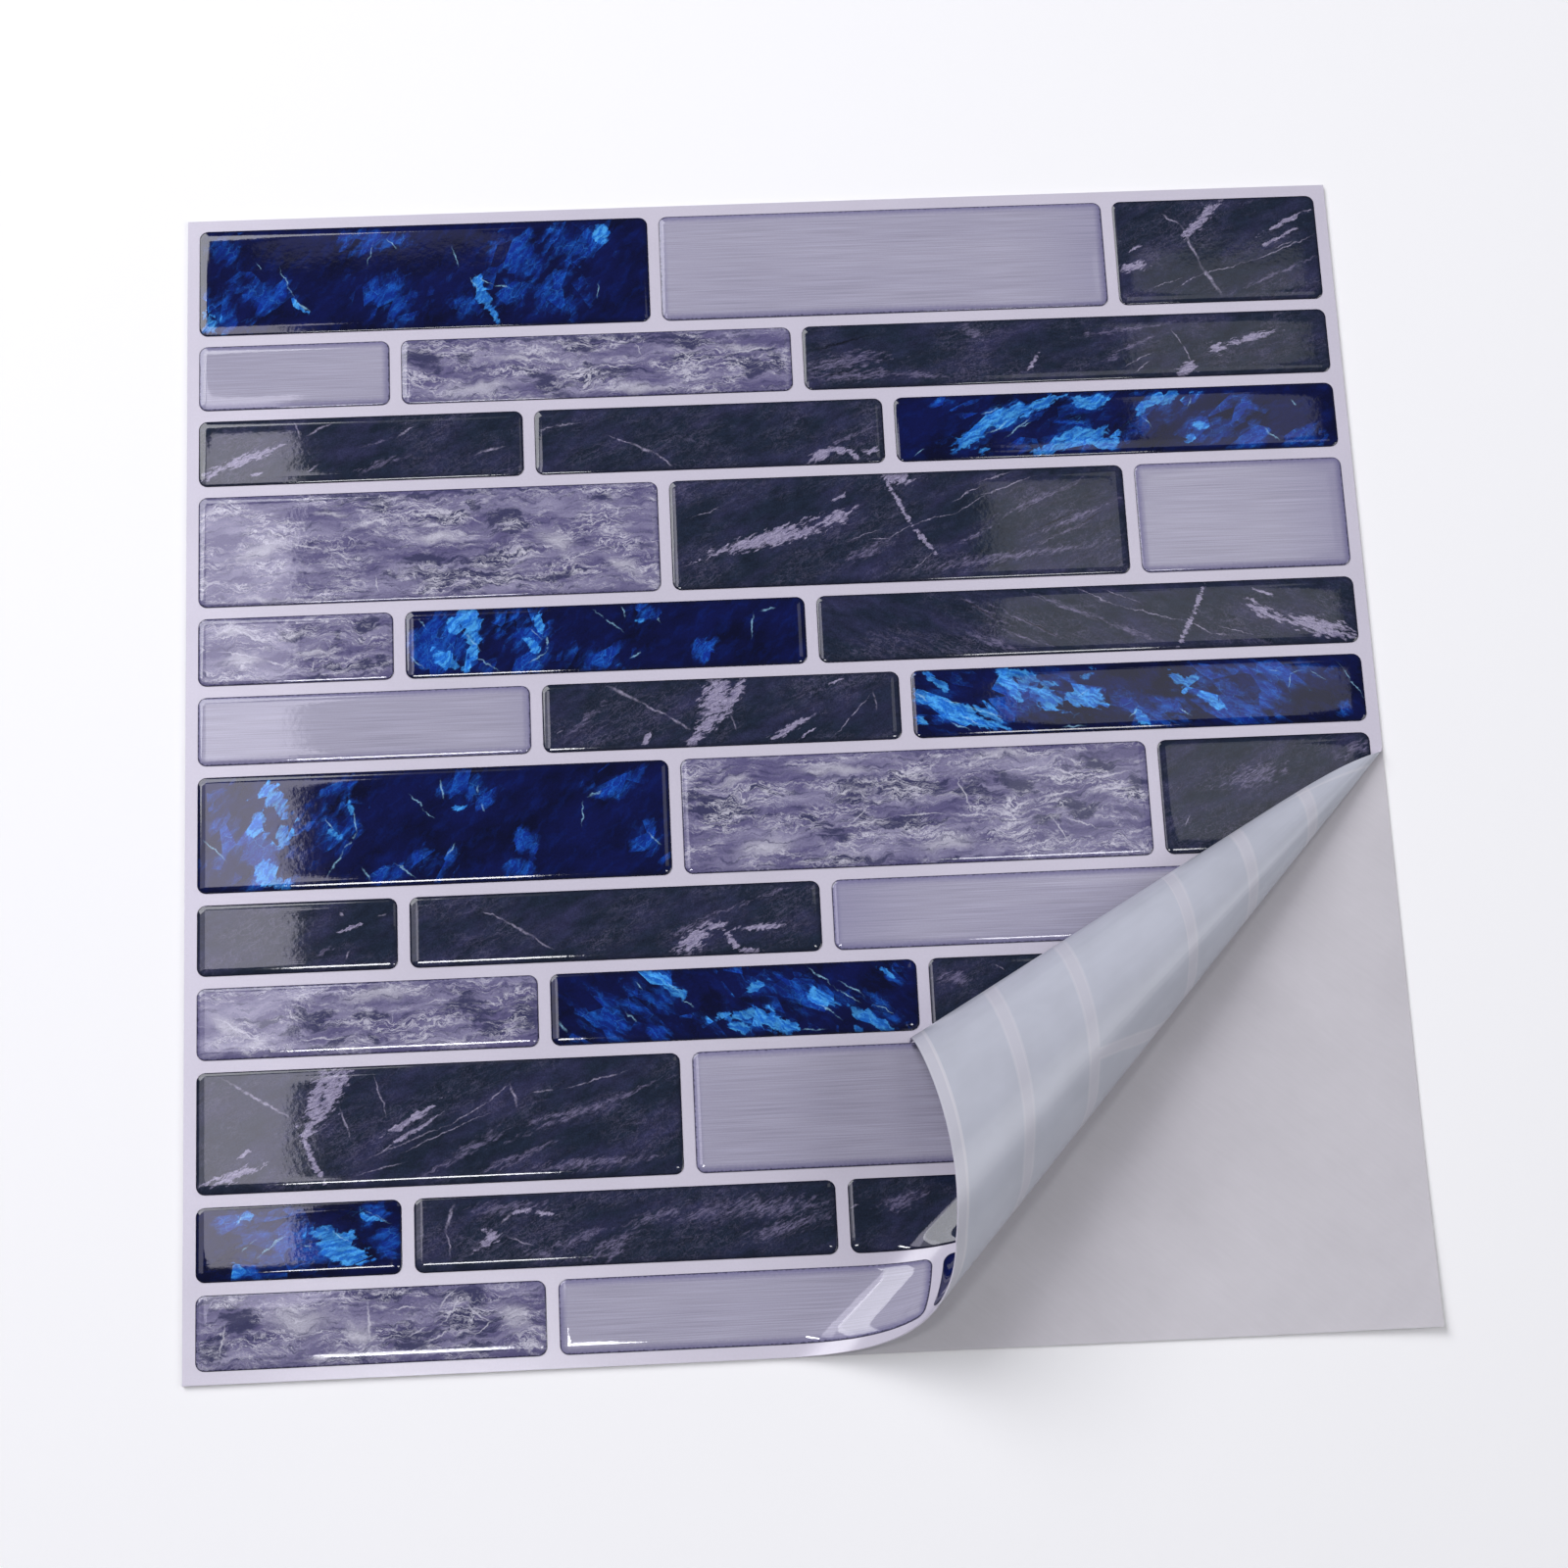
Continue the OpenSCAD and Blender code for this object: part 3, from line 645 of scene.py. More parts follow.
def add_node(tree, kind, inputs=(), out=0, **settings):
    """Adds a node with its settings and gives its output. The inputs map the node's sockets to values or to the
    sockets that feed them."""
    made = tree.nodes.new(kind)
    for name, value in settings.items():
        setattr(made, name, value)
    for socket, value in dict(inputs).items():
        if isinstance(value, bpy.types.NodeSocket):
            tree.links.new(value, made.inputs[socket])
        else:
            made.inputs[socket].default_value = value
    return made.outputs[out]


def new_material(name):
    """An empty node material and its tree."""
    material = bpy.data.materials.new(name)
    material.use_nodes = True
    material.node_tree.nodes.clear()
    return material, material.node_tree


def finish_material(tree, shader):
    """Links the shader to the output."""
    end = tree.nodes.new("ShaderNodeOutputMaterial")
    tree.links.new(shader, end.inputs["Surface"])


def print_place(tree, shift):
    """Place on the print in millimetres from the tile's centre, plain and moved to the tile's part of the noise."""
    here = add_node(tree, "ShaderNodeUVMap", uv_map="print")
    place = add_node(tree, "ShaderNodeMapping", {"Vector": here, "Location": shift})
    return here, place


def edge_depth(tree, here, size, corner):
    """Distance in millimetres from the tile's outline inwards, with round corners."""
    folded = add_node(tree, "ShaderNodeVectorMath", {0: here}, operation="ABSOLUTE")
    half = (size[0] / MM / 2 - corner, size[1] / MM / 2 - corner, 0)
    past = add_node(tree, "ShaderNodeVectorMath", {0: folded, 1: half}, operation="SUBTRACT")
    outside = add_node(tree, "ShaderNodeVectorMath", {0: past, 1: (0, 0, 0)}, operation="MAXIMUM")
    reach = add_node(tree, "ShaderNodeVectorMath", {0: outside}, out=1, operation="LENGTH")
    split = add_node(tree, "ShaderNodeSeparateXYZ", {0: past}).node.outputs
    larger = add_node(tree, "ShaderNodeMath", {0: split[0], 1: split[1]}, operation="MAXIMUM")
    inner = add_node(tree, "ShaderNodeMath", {0: larger, 1: 0.0}, operation="MINIMUM")
    both = add_node(tree, "ShaderNodeMath", {0: reach, 1: inner}, operation="ADD")
    return add_node(tree, "ShaderNodeMath", {0: corner, 1: both}, operation="SUBTRACT")


def wander(tree, here, place, per_mm, reach, detail=4.0):
    """Moves a place by noise of that many waves a millimetre, by up to about reach millimetres each way."""
    drift = add_node(tree, "ShaderNodeTexNoise", {"Vector": place, "Scale": per_mm, "Detail": detail,
                                                   "Roughness": 0.6}, out=1)
    centred = add_node(tree, "ShaderNodeVectorMath", {0: drift, 1: (0.5, 0.5, 0.5)}, operation="SUBTRACT")
    return add_node(tree, "ShaderNodeVectorMath", {0: centred, 1: (3 * reach, 3 * reach, 0), 2: here},
                    operation="MULTIPLY_ADD")


def least(tree, values):
    """The smallest of the values."""
    found = values[0]
    for value in values[1:]:
        found = add_node(tree, "ShaderNodeMath", {0: found, 1: value}, operation="MINIMUM")
    return found


def apart(tree, one, other):
    """How far two values are apart."""
    gap = add_node(tree, "ShaderNodeMath", {0: one, 1: other}, operation="SUBTRACT")
    return add_node(tree, "ShaderNodeMath", {0: gap}, operation="ABSOLUTE")


def drawn(tree, place, strokes, core, tear=None, widen=1.0):
    """Mask of spindle-shaped strokes: 1 in their core, a share of their width, and 0 from their outline on.
    Tear, a mask, pushes the outline out where it is 0 and in where it is 1."""
    reaches = []
    for x0, y0, x1, y1, wide in strokes:
        wide *= widen
        middle = ((x0 + x1) / 2, (y0 + y1) / 2, 0)
        half = math.hypot(x1 - x0, y1 - y0) / 2 + wide / 4
        own = add_node(tree, "ShaderNodeMapping",
                       {"Vector": place, "Location": middle, "Rotation": (0, 0, math.atan2(y1 - y0, x1 - x0)),
                        "Scale": (half, wide / 2, 1)}, vector_type="TEXTURE")
        reaches.append(add_node(tree, "ShaderNodeVectorMath", {0: own}, out=1, operation="LENGTH"))
    nearest = least(tree, reaches)
    if tear:
        push = add_node(tree, "ShaderNodeMapRange", {0: tear, 3: -STROKE_TEAR, 4: STROKE_TEAR})
        nearest = add_node(tree, "ShaderNodeMath", {0: nearest, 1: push}, operation="ADD")
    return add_node(tree, "ShaderNodeMapRange", {0: nearest, 1: STROKE_EDGE, 2: core},
                    interpolation_type="SMOOTHSTEP")


def crinkles(tree, place, lean, along, across, thin):
    """Mask of thin crinkled lines: the middle level of noise drawn out along the lean."""
    turned = add_node(tree, "ShaderNodeMapping", {"Vector": place, "Rotation": (0, 0, lean),
                                                   "Scale": (along, across, 1)}, vector_type="TEXTURE")
    level = add_node(tree, "ShaderNodeTexNoise", {"Vector": turned, "Scale": 1.0, "Detail": 5.0, "Roughness": 0.6,
                                                   "Distortion": 0.5})
    return add_node(tree, "ShaderNodeMapRange", {0: apart(tree, level, 0.5), 1: thin, 2: 0.0})


def streaks(tree, place, lean, along, across, start, full, detail=5.0):
    """Mask of noise drawn out along the lean. Along and across are its length and width in millimetres, and it goes
    from 0 at the level start to 1 at the level full."""
    turned = add_node(tree, "ShaderNodeMapping", {"Vector": place, "Rotation": (0, 0, lean),
                                                   "Scale": (along, across, 1)}, vector_type="TEXTURE")
    cloud = add_node(tree, "ShaderNodeTexNoise", {"Vector": turned, "Scale": 1.0, "Detail": detail, "Roughness": 0.6})
    return add_node(tree, "ShaderNodeMapRange", {0: cloud, 1: start, 2: full})


def lay_ink(tree, paint, ink, mask, share, through=None):
    """Prints an ink over the paint inside the mask, at that share of full cover, broken up by a second mask."""
    cover = add_node(tree, "ShaderNodeMath", {0: mask, 1: share}, operation="MULTIPLY")
    if through:
        cover = add_node(tree, "ShaderNodeMath", {0: cover, 1: through}, operation="MULTIPLY")
    return add_node(tree, "ShaderNodeMix", {0: cover, 6: paint, 7: ink}, out=2, data_type="RGBA")


def shade_by(tree, paint, mask, low, high):
    """Darkens or lightens the paint from low to high as the mask goes from 0 to 1."""
    level = add_node(tree, "ShaderNodeMapRange", {0: mask, 3: low, 4: high})
    if not isinstance(paint, bpy.types.NodeSocket):
        paint = paint[:3]
    return add_node(tree, "ShaderNodeVectorMath", {0: paint, 3: level}, operation="SCALE")


def slate_print(tree, name, here, place, colours):
    """Dark slate marble: a finely speckled blue-grey ground with purple clouds, pale blades and thin veins."""
    marks = STROKES[name]
    lean = math.radians(LEANS.get(name, SLATE_LEAN))
    loose = wander(tree, here, place, 0.45, 0.6, 6.0)
    paint = lay_ink(tree, colours.dark_ground, colours.dark_cloud, streaks(tree, place, lean, 18, 8, 0.45, 0.66), 0.6)
    paint = shade_by(tree, paint, streaks(tree, loose, lean, 5, 2.2, 0.3, 0.7), 0.72, 1.3)
    # Faint crinkled lines in three directions, where the haze lets them show.
    haze = streaks(tree, place, 0.2, 24, 12, 0.44, 0.62)
    for turn, along, across, thin, share in ((0, 7, 1.8, 0.03, 0.26), (1.3, 5, 2.4, 0.018, 0.2),
                                             (0.1, 3, 0.9, 0.04, 0.12)):
        lines = crinkles(tree, loose, lean + turn, along, across, thin)
        paint = lay_ink(tree, paint, colours.dark_streak, lines, share, haze)
    # The strokes of this tile, torn and broken up along the lean.
    broken = streaks(tree, loose, lean, 3, 0.35, 0.38, 0.54)
    tear = streaks(tree, loose, lean, 2.6, 0.8, 0.3, 0.7)
    if "bands" in marks:
        paint = lay_ink(tree, paint, colours.dark_streak, drawn(tree, loose, marks["bands"], 0.0, tear), 0.7, broken)
    if "grooves" in marks:
        paint = lay_ink(tree, paint, colours.dark_groove, drawn(tree, loose, marks["grooves"], 0.2), 0.8)
    if "blades" in marks:
        blades = drawn(tree, loose, marks["blades"], 0.6, tear)
        paint = lay_ink(tree, paint, colours.dark_streak, blades, 0.75)
        paint = lay_ink(tree, paint, colours.dark_vein, blades, 0.75, broken)
    if "veins" in marks:
        crooked = wander(tree, here, place, 0.3, 0.75, 6.0)
        paint = lay_ink(tree, paint, colours.dark_vein, drawn(tree, crooked, marks["veins"], 0.2), 0.7,
                        streaks(tree, place, lean, 1.5, 1.5, 0.32, 0.56))
    # Speckles of two sizes.
    paint = shade_by(tree, paint, streaks(tree, place, 0, 1.2, 1.0, 0.3, 0.7, 4.0), 0.86, 1.14)
    return shade_by(tree, paint, streaks(tree, place, 0, 0.42, 0.42, 0.3, 0.7, 3.0), 0.7, 1.3)


def blue_print(tree, name, here, place, colours):
    """Deep blue marble: near-black ground, blue clouds, bright facets with straight edges and thin light cracks."""
    marks = STROKES[name]
    loose = wander(tree, here, place, 0.18, 1.5, 6.0)
    # Facets: two sizes of straight-edged cells, drawn out along a diagonal, each with a tone of its own.
    lean = math.radians(LEANS.get(name, BLUE_LEAN))
    facet = streaks(tree, loose, lean, 7, 3, 0.25, 0.75, 4.0)
    for across, share in ((3.6, 0.8), (1.5, 0.35)):
        slant = add_node(tree, "ShaderNodeMapping", {"Vector": place, "Rotation": (0, 0, lean),
                                                      "Scale": (1.9 * across, across, 1)}, vector_type="TEXTURE")
        cells = add_node(tree, "ShaderNodeTexVoronoi", {"Vector": slant, "Scale": 1.0}, out=1, voronoi_dimensions="2D")
        tone = add_node(tree, "ShaderNodeSeparateXYZ", {0: cells})
        facet = add_node(tree, "ShaderNodeMath", {0: tone, 1: share, 2: facet}, operation="MULTIPLY_ADD")
    facet = add_node(tree, "ShaderNodeMapRange", {0: facet, 1: 0.4, 2: 1.75})
    borders = add_node(tree, "ShaderNodeTexVoronoi", {"Vector": slant, "Scale": 1.0}, voronoi_dimensions="2D",
                       feature="DISTANCE_TO_EDGE")
    # The ground, then the strokes of this tile, torn along the facets.
    paint = lay_ink(tree, colours.blue_deep, colours.blue_night, streaks(tree, place, 0.5, 16, 10, 0.36, 0.6), 1.0)
    paint = lay_ink(tree, paint, colours.blue_mid, streaks(tree, loose, lean, 6, 2.5, 0.5, 0.8), 0.4)
    clouds = drawn(tree, loose, marks["clouds"], 0.1, facet, widen=1.35)
    paint = lay_ink(tree, paint, colours.blue_mid, clouds, 0.9)
    paint = lay_ink(tree, paint, colours.blue_light, clouds, 0.5, streaks(tree, loose, lean, 5, 1.4, 0.46, 0.64))
    paint = lay_ink(tree, paint, colours.blue_light, crinkles(tree, loose, lean, 8, 2.2, 0.022), 0.6, clouds)
    if "voids" in marks:
        paint = lay_ink(tree, paint, colours.blue_deep, drawn(tree, loose, marks["voids"], 0.3, facet), 0.9)
    shards = drawn(tree, loose, marks["shards"], 0.85, facet, widen=1.25)
    paint = lay_ink(tree, paint, colours.blue_light, shards, 0.95)
    paint = lay_ink(tree, paint, colours.blue_bright, shards, 0.85, streaks(tree, loose, lean, 3.5, 0.8, 0.44, 0.58))
    # Each facet gets its tone, and some facets a bright border.
    lit = add_node(tree, "ShaderNodeMath", {0: clouds, 1: shards}, operation="MAXIMUM")
    paint = lay_ink(tree, paint, shade_by(tree, paint, facet, 1.4, 0.55), lit, 1.0)
    line = add_node(tree, "ShaderNodeMapRange", {0: borders, 1: 0.05, 2: 0.0})
    some = streaks(tree, place, 0, 4, 4, 0.5, 0.6)
    bordered = add_node(tree, "ShaderNodeMath", {0: lit, 1: some}, operation="MULTIPLY")
    paint = lay_ink(tree, paint, colours.blue_bright, line, 0.4, bordered)
    crooked = wander(tree, here, place, 0.35, 0.8, 6.0)
    paint = lay_ink(tree, paint, colours.blue_crack, drawn(tree, crooked, marks["veins"], 0.2), 0.6,
                    streaks(tree, place, 0, 1.8, 1.8, 0.34, 0.55))
    return shade_by(tree, paint, streaks(tree, place, 0, 0.5, 0.5, 0.3, 0.7, 3.0), 0.8, 1.2)


def pale_print(tree, name, here, place, colours):
    """Pale grey marble: lilac-grey ground, level indigo patches and crinkled white veins."""
    marks = STROKES[name]
    loose = wander(tree, here, place, 0.11, 2.8, 5.0)
    paint = lay_ink(tree, colours.pale_ground, colours.pale_shade, streaks(tree, loose, 0.1, 26, 4.5, 0.34, 0.56), 1.0)
    paint = lay_ink(tree, paint, colours.pale_light, drawn(tree, loose, marks["lights"], 0.0), 0.85)
    tear = streaks(tree, loose, 0.08, 9, 1.6, 0.3, 0.7)
    patches = drawn(tree, loose, marks["patches"], 0.5, tear, widen=1.5)
    paint = lay_ink(tree, paint, colours.pale_patch, patches, 0.9)
    paint = lay_ink(tree, paint, colours.pale_patch, streaks(tree, loose, 0.05, 7, 0.8, 0.52, 0.66), 0.7)
    for along, across, thin, share in ((12.0, 2.4, 0.026, 0.8), (4.5, 1.3, 0.035, 0.5), (18.0, 5.0, 0.018, 0.9)):
        paint = lay_ink(tree, paint, colours.pale_vein, crinkles(tree, loose, 0, along, across, thin), share,
                        streaks(tree, place, 0, 14, 6, 0.44, 0.58))
    fine = wander(tree, here, place, 0.3, 1.0, 5.0)
    paint = lay_ink(tree, paint, colours.pale_vein, drawn(tree, fine, marks["veins"], 0.1), 0.75)
    return shade_by(tree, paint, streaks(tree, place, 0, 0.5, 0.4, 0.3, 0.7, 3.0), 0.87, 1.13)


def silver_print(tree, name, here, place, colours):
    """Brushed silver: fine level lines, each 0.28 mm wide, which is coarser than real brushing so that they show."""
    paint = lay_ink(tree, colours.silver_ground, colours.silver_light, streaks(tree, place, 0, 60, 9, 0.34, 0.66), 0.5)
    paint = shade_by(tree, paint, streaks(tree, place, 0, 24, 0.28, 0.25, 0.75, 1.0), 0.82, 1.14)
    start, full = SILVER_SHADES.get(name, SILVER_PLAIN)
    x = add_node(tree, "ShaderNodeSeparateXYZ", {0: here})
    side = add_node(tree, "ShaderNodeMapRange", {0: x, 1: start, 2: full}, interpolation_type="SMOOTHSTEP")
    paint = lay_ink(tree, paint, colours.silver_edge, side, 0.5)
    return shade_by(tree, paint, streaks(tree, place, 0, 0.4, 0.4, 0.3, 0.7, 2.0), 0.97, 1.03)


# Print, and how far its shaded edge reaches in millimetres, how strong it is and its colour, for each finish.
FINISHES = {"B": ("blue marble", blue_print, 1.6, 0.5, "#060a22"),
            "S": ("brushed silver", silver_print, 2.4, 0.8, "#6f6b93"),
            "P": ("pale marble", pale_print, 1.8, 0.5, "#55517a"),
            "D": ("dark slate marble", slate_print, 1.4, 0.55, "#161b2b")}


def gel_material(name, finish, colours, tile_size, sizes, shift):
    """Clear gel, cast over the print: glass-smooth with slow waves, so lamps mirror in it with soft ragged edges."""
    ink_name, paint_print, reach, share, edge = FINISHES[finish]
    material, tree = new_material(f"Cast clear gel over {ink_name} print {name}")
    here, place = print_place(tree, shift)
    paint = paint_print(tree, name, here, place, colours)
    depth = edge_depth(tree, here, tile_size, sizes.corner_r / MM)
    ragged = add_node(tree, "ShaderNodeTexNoise", {"Vector": place, "Scale": 1.3, "Detail": 3.0})
    ragged_depth = add_node(tree, "ShaderNodeMath", {0: ragged, 1: 0.9, 2: depth}, operation="MULTIPLY_ADD")
    shade = add_node(tree, "ShaderNodeMapRange", {0: ragged_depth, 1: reach + 0.45, 2: 0.5},
                     interpolation_type="SMOOTHSTEP")
    paint = lay_ink(tree, paint, linear(edge), shade, share)
    # Painted shade: a dark line at each tile's foot, partly the print's outline and partly standing in for the dark
    # edge of the thick gel wall.
    foot = add_node(tree, "ShaderNodeMapRange", {0: ragged_depth, 1: 0.85, 2: 0.6})
    paint = lay_ink(tree, paint, colours.rim, foot, 0.75)
    waves = add_node(tree, "ShaderNodeTexNoise", {"Vector": place, "Scale": 0.08, "Detail": 1.0})
    skin = add_node(tree, "ShaderNodeTexNoise", {"Vector": place, "Scale": 0.7, "Detail": 2.5})
    tall = add_node(tree, "ShaderNodeMath", {0: skin, 1: 0.25, 2: waves}, operation="MULTIPLY_ADD")
    bump = add_node(tree, "ShaderNodeBump", {"Strength": 0.25, "Distance": 0.00012, "Height": tall})
    finish_material(tree, add_node(tree, "ShaderNodeBsdfPrincipled", {"Base Color": paint, "Roughness": 0.05,
                                                                       "IOR": 1.5, "Normal": bump}))
    return material


class BACKSPLASH_OT_liner(bpy.types.Operator):
    """Builds the release liner under the film"""
    bl_idname = "backsplash.liner"
    bl_label = "Release liner"

    def execute(self, context):
        sizes = context.scene.sheet_sizes
        colours = context.scene.print_colours
        piece = add_block("liner_sheet", (sizes.side, sizes.side, sizes.liner_t), (0, 0, sizes.liner_t / 2))
        pick(piece, "EDGE", lambda edge: True)
        bpy.ops.mesh.subdivide(number_cuts=sizes.liner_cuts)
        bpy.ops.object.mode_set(mode="OBJECT")
        for vertex in piece.data.vertices:
            past = vertex.co.x - vertex.co.y - sizes.side + sizes.curl_reach
            if past > 0:
                vertex.co.z += sizes.curl * (past / sizes.curl_reach) ** 2
        smooth(piece, 30)
        # Glassine release paper with a silicone coat: smooth, dull-glossy, slightly cloudy.
        material, tree = new_material("Silicone-coated glassine paper")
        place = add_node(tree, "ShaderNodeTexCoord", out=3)
        there = add_node(tree, "ShaderNodeVectorMath", {0: place, 3: 1 / MM}, operation="SCALE")
        paint = shade_by(tree, colours.liner, streaks(tree, there, 0, 25, 25, 0.3, 0.7, 4.0), 0.96, 1.04)
        paint = shade_by(tree, paint, streaks(tree, there, -0.7, 9, 0.8, 0.3, 0.7), 0.985, 1.015)
        fibre = streaks(tree, there, -0.7, 3, 0.8, 0.3, 0.7)
        bump = add_node(tree, "ShaderNodeBump", {"Strength": 0.3, "Distance": 0.00003, "Height": fibre})
        finish_material(tree, add_node(tree, "ShaderNodeBsdfPrincipled", {"Base Color": paint, "Roughness": 0.35,
                                                                           "IOR": 1.43, "Normal": bump}))
        piece.data.materials.append(material)
        hand_over(piece, "release_liner")
        return {"FINISHED"}


class BACKSPLASH_OT_film(bpy.types.Operator):
    """Builds the printed film with its rolled corner"""
    bl_idname = "backsplash.film"
    bl_label = "Printed film"

    def execute(self, context):
        sizes = context.scene.sheet_sizes
        shape = context.scene.roll_shape
        colours = context.scene.print_colours
        middle = (0, 0, sizes.liner_t + sizes.film_t / 2)
        piece = add_block("film_sheet", (sizes.side, sizes.side, sizes.film_t), middle)
        cut_along_roll(piece, sizes, shape)
        flat_uv(piece, "print", (0, 0))
        # While the film is flat, its face looks up, its back down and its edge sideways.
        face, back, edge = 0, 1, 2
        for polygon in piece.data.polygons:
            up = round(polygon.normal.z)
            polygon.material_index = {1: face, -1: back, 0: edge}[up]
        roll_up(piece, sizes, shape)
        smooth(piece, 40)
        for material in (self.face(colours), self.back(colours, sizes, shape), self.edge(colours)):
            piece.data.materials.append(material)
        hand_over(piece, "printed_film")
        return {"FINISHED"}

    def face(self, colours):
        """Calendered white PVC: smooth and glossy, with a faint lilac cast and slow unevenness."""
        material, tree = new_material("Calendered glossy PVC film")
        here = add_node(tree, "ShaderNodeUVMap", uv_map="print")
        paint = shade_by(tree, colours.joint, streaks(tree, here, 0, 30, 30, 0.3, 0.7, 2.0), 0.97, 1.03)
        paint = shade_by(tree, paint, streaks(tree, here, 0, 0.6, 0.6, 0.3, 0.7, 2.0), 0.98, 1.02)
        skin = add_node(tree, "ShaderNodeTexNoise", {"Vector": here, "Scale": 0.8, "Detail": 3.0})
        bump = add_node(tree, "ShaderNodeBump", {"Strength": 0.3, "Distance": 0.00002, "Height": skin})
        finish_material(tree, add_node(tree, "ShaderNodeBsdfPrincipled", {"Base Color": paint, "Roughness": 0.22,
                                                                           "IOR": 1.53, "Normal": bump}))
        return material

    def back(self, colours, sizes, shape):
        """Pressure-sensitive acrylic adhesive: a pale glossy coat, with the face's white joints showing through."""
        material, tree = new_material("Acrylic adhesive coat on the film's back")
        here = add_node(tree, "ShaderNodeUVMap", uv_map="print")
        split = add_node(tree, "ShaderNodeSeparateXYZ", {0: here}).node.outputs
        top = (sizes.side / 2 - sizes.margin) / MM
        period = (sizes.tall_h + 2 * sizes.low_h + 3 * sizes.joint) / MM
        down = add_node(tree, "ShaderNodeMath", {0: top, 1: split[1]}, operation="SUBTRACT")
        row = add_node(tree, "ShaderNodeMath", {0: down, 1: period}, operation="FLOORED_MODULO")
        # Middles of the level joints of three rows, and of the upright joint at the right of each with its ends.
        half = sizes.joint / 2 / MM
        tall, low = sizes.tall_h / MM, sizes.low_h / MM
        joint_rows = (tall + half, tall + low + 3 * half, tall + 2 * low + 5 * half)
        left = -sizes.side / 2 + sizes.margin
        ends = ((left + sizes.tall_first + sizes.tall_second + 1.5 * sizes.joint, 0.0),
                (left + sizes.middle_first + sizes.middle_second + 1.5 * sizes.joint, joint_rows[0]),
                (left + sizes.lower_first + sizes.lower_second + 1.5 * sizes.joint, joint_rows[1]))
        bands = [apart(tree, row, middle) for middle in joint_rows]
        for (x, above), below in zip(ends, joint_rows):
            reach = apart(tree, row, (above + below) / 2)
            past = add_node(tree, "ShaderNodeMath", {0: reach, 1: (below - above) / 2}, operation="SUBTRACT")
            away = apart(tree, split[0], x / MM)
            bands.append(add_node(tree, "ShaderNodeMath", {0: away, 1: past}, operation="MAXIMUM"))
        shown = least(tree, bands)
        # Distance from the tiles' outer outline at the right and at the bottom.
        right = add_node(tree, "ShaderNodeMath", {0: top, 1: split[0]}, operation="SUBTRACT")
        bottom = add_node(tree, "ShaderNodeMath", {0: split[1], 1: top}, operation="ADD")
        border = least(tree, (right, bottom))
        border_line = add_node(tree, "ShaderNodeMath", {0: border, 1: 0.0, 2: 0.4}, operation="COMPARE")
        joint = add_node(tree, "ShaderNodeMapRange", {0: shown, 1: half + 0.25, 2: half - 0.35},
                         interpolation_type="SMOOTHSTEP")
        rim_line = add_node(tree, "ShaderNodeMath", {0: shown, 1: half, 2: 0.35}, operation="COMPARE")
        # Strain lines along the roll's straight lines, by the fan angle. They bump the back, and they also lighten and
        # darken its colour a little: a painted sheen for the light and dark reflection streaks along the roll.
        tip, out, side = roll_lines(sizes, shape)
        meeting = (tip.x / MM, tip.y / MM, 0)
        from_tip = add_node(tree, "ShaderNodeVectorMath", {0: here, 1: meeting}, operation="SUBTRACT")
        arms = add_node(tree, "ShaderNodeSeparateXYZ", {0: from_tip}).node.outputs
        fan = add_node(tree, "ShaderNodeMath", {0: arms[1], 1: arms[0]}, operation="ARCTAN2")
        strain_and_sheen = add_node(tree, "ShaderNodeTexNoise", {"W": fan, "Scale": 22.0, "Detail": 2.0}, noise_dimensions="1D")
        paint = shade_by(tree, colours.back, streaks(tree, here, 0, 22, 22, 0.35, 0.65, 3.0), 0.95, 1.05)
        # Painted sheen: light and dark streaks along the roll's lines stand in for reflections on the curled back.
        paint = shade_by(tree, paint, strain_and_sheen, 0.96, 1.04)
        paint = lay_ink(tree, paint, colours.show_through, joint, 0.6)
        paint = lay_ink(tree, paint, colours.back_line, rim_line, 0.22)
        paint = lay_ink(tree, paint, colours.back_line, border_line, 0.3)
        bump = add_node(tree, "ShaderNodeBump", {"Strength": 0.25, "Distance": 0.0004, "Height": strain_and_sheen})
        finish_material(tree, add_node(tree, "ShaderNodeBsdfPrincipled", {"Base Color": paint, "Roughness": 0.26,
                                                                           "IOR": 1.47, "Normal": bump}))
        return material

    def edge(self, colours):
        """Knife-cut edge of the film: the white core, slightly rough."""
        material, tree = new_material("Knife-cut PVC edge")
        place = add_node(tree, "ShaderNodeTexCoord", out=3)
        ragged = add_node(tree, "ShaderNodeTexNoise", {"Vector": place, "Scale": 1200.0, "Detail": 3.0})
        paint = shade_by(tree, colours.joint, ragged, 0.85, 1.25)
        finish_material(tree, add_node(tree, "ShaderNodeBsdfPrincipled", {"Base Color": paint, "Roughness": 0.4}))
        return material


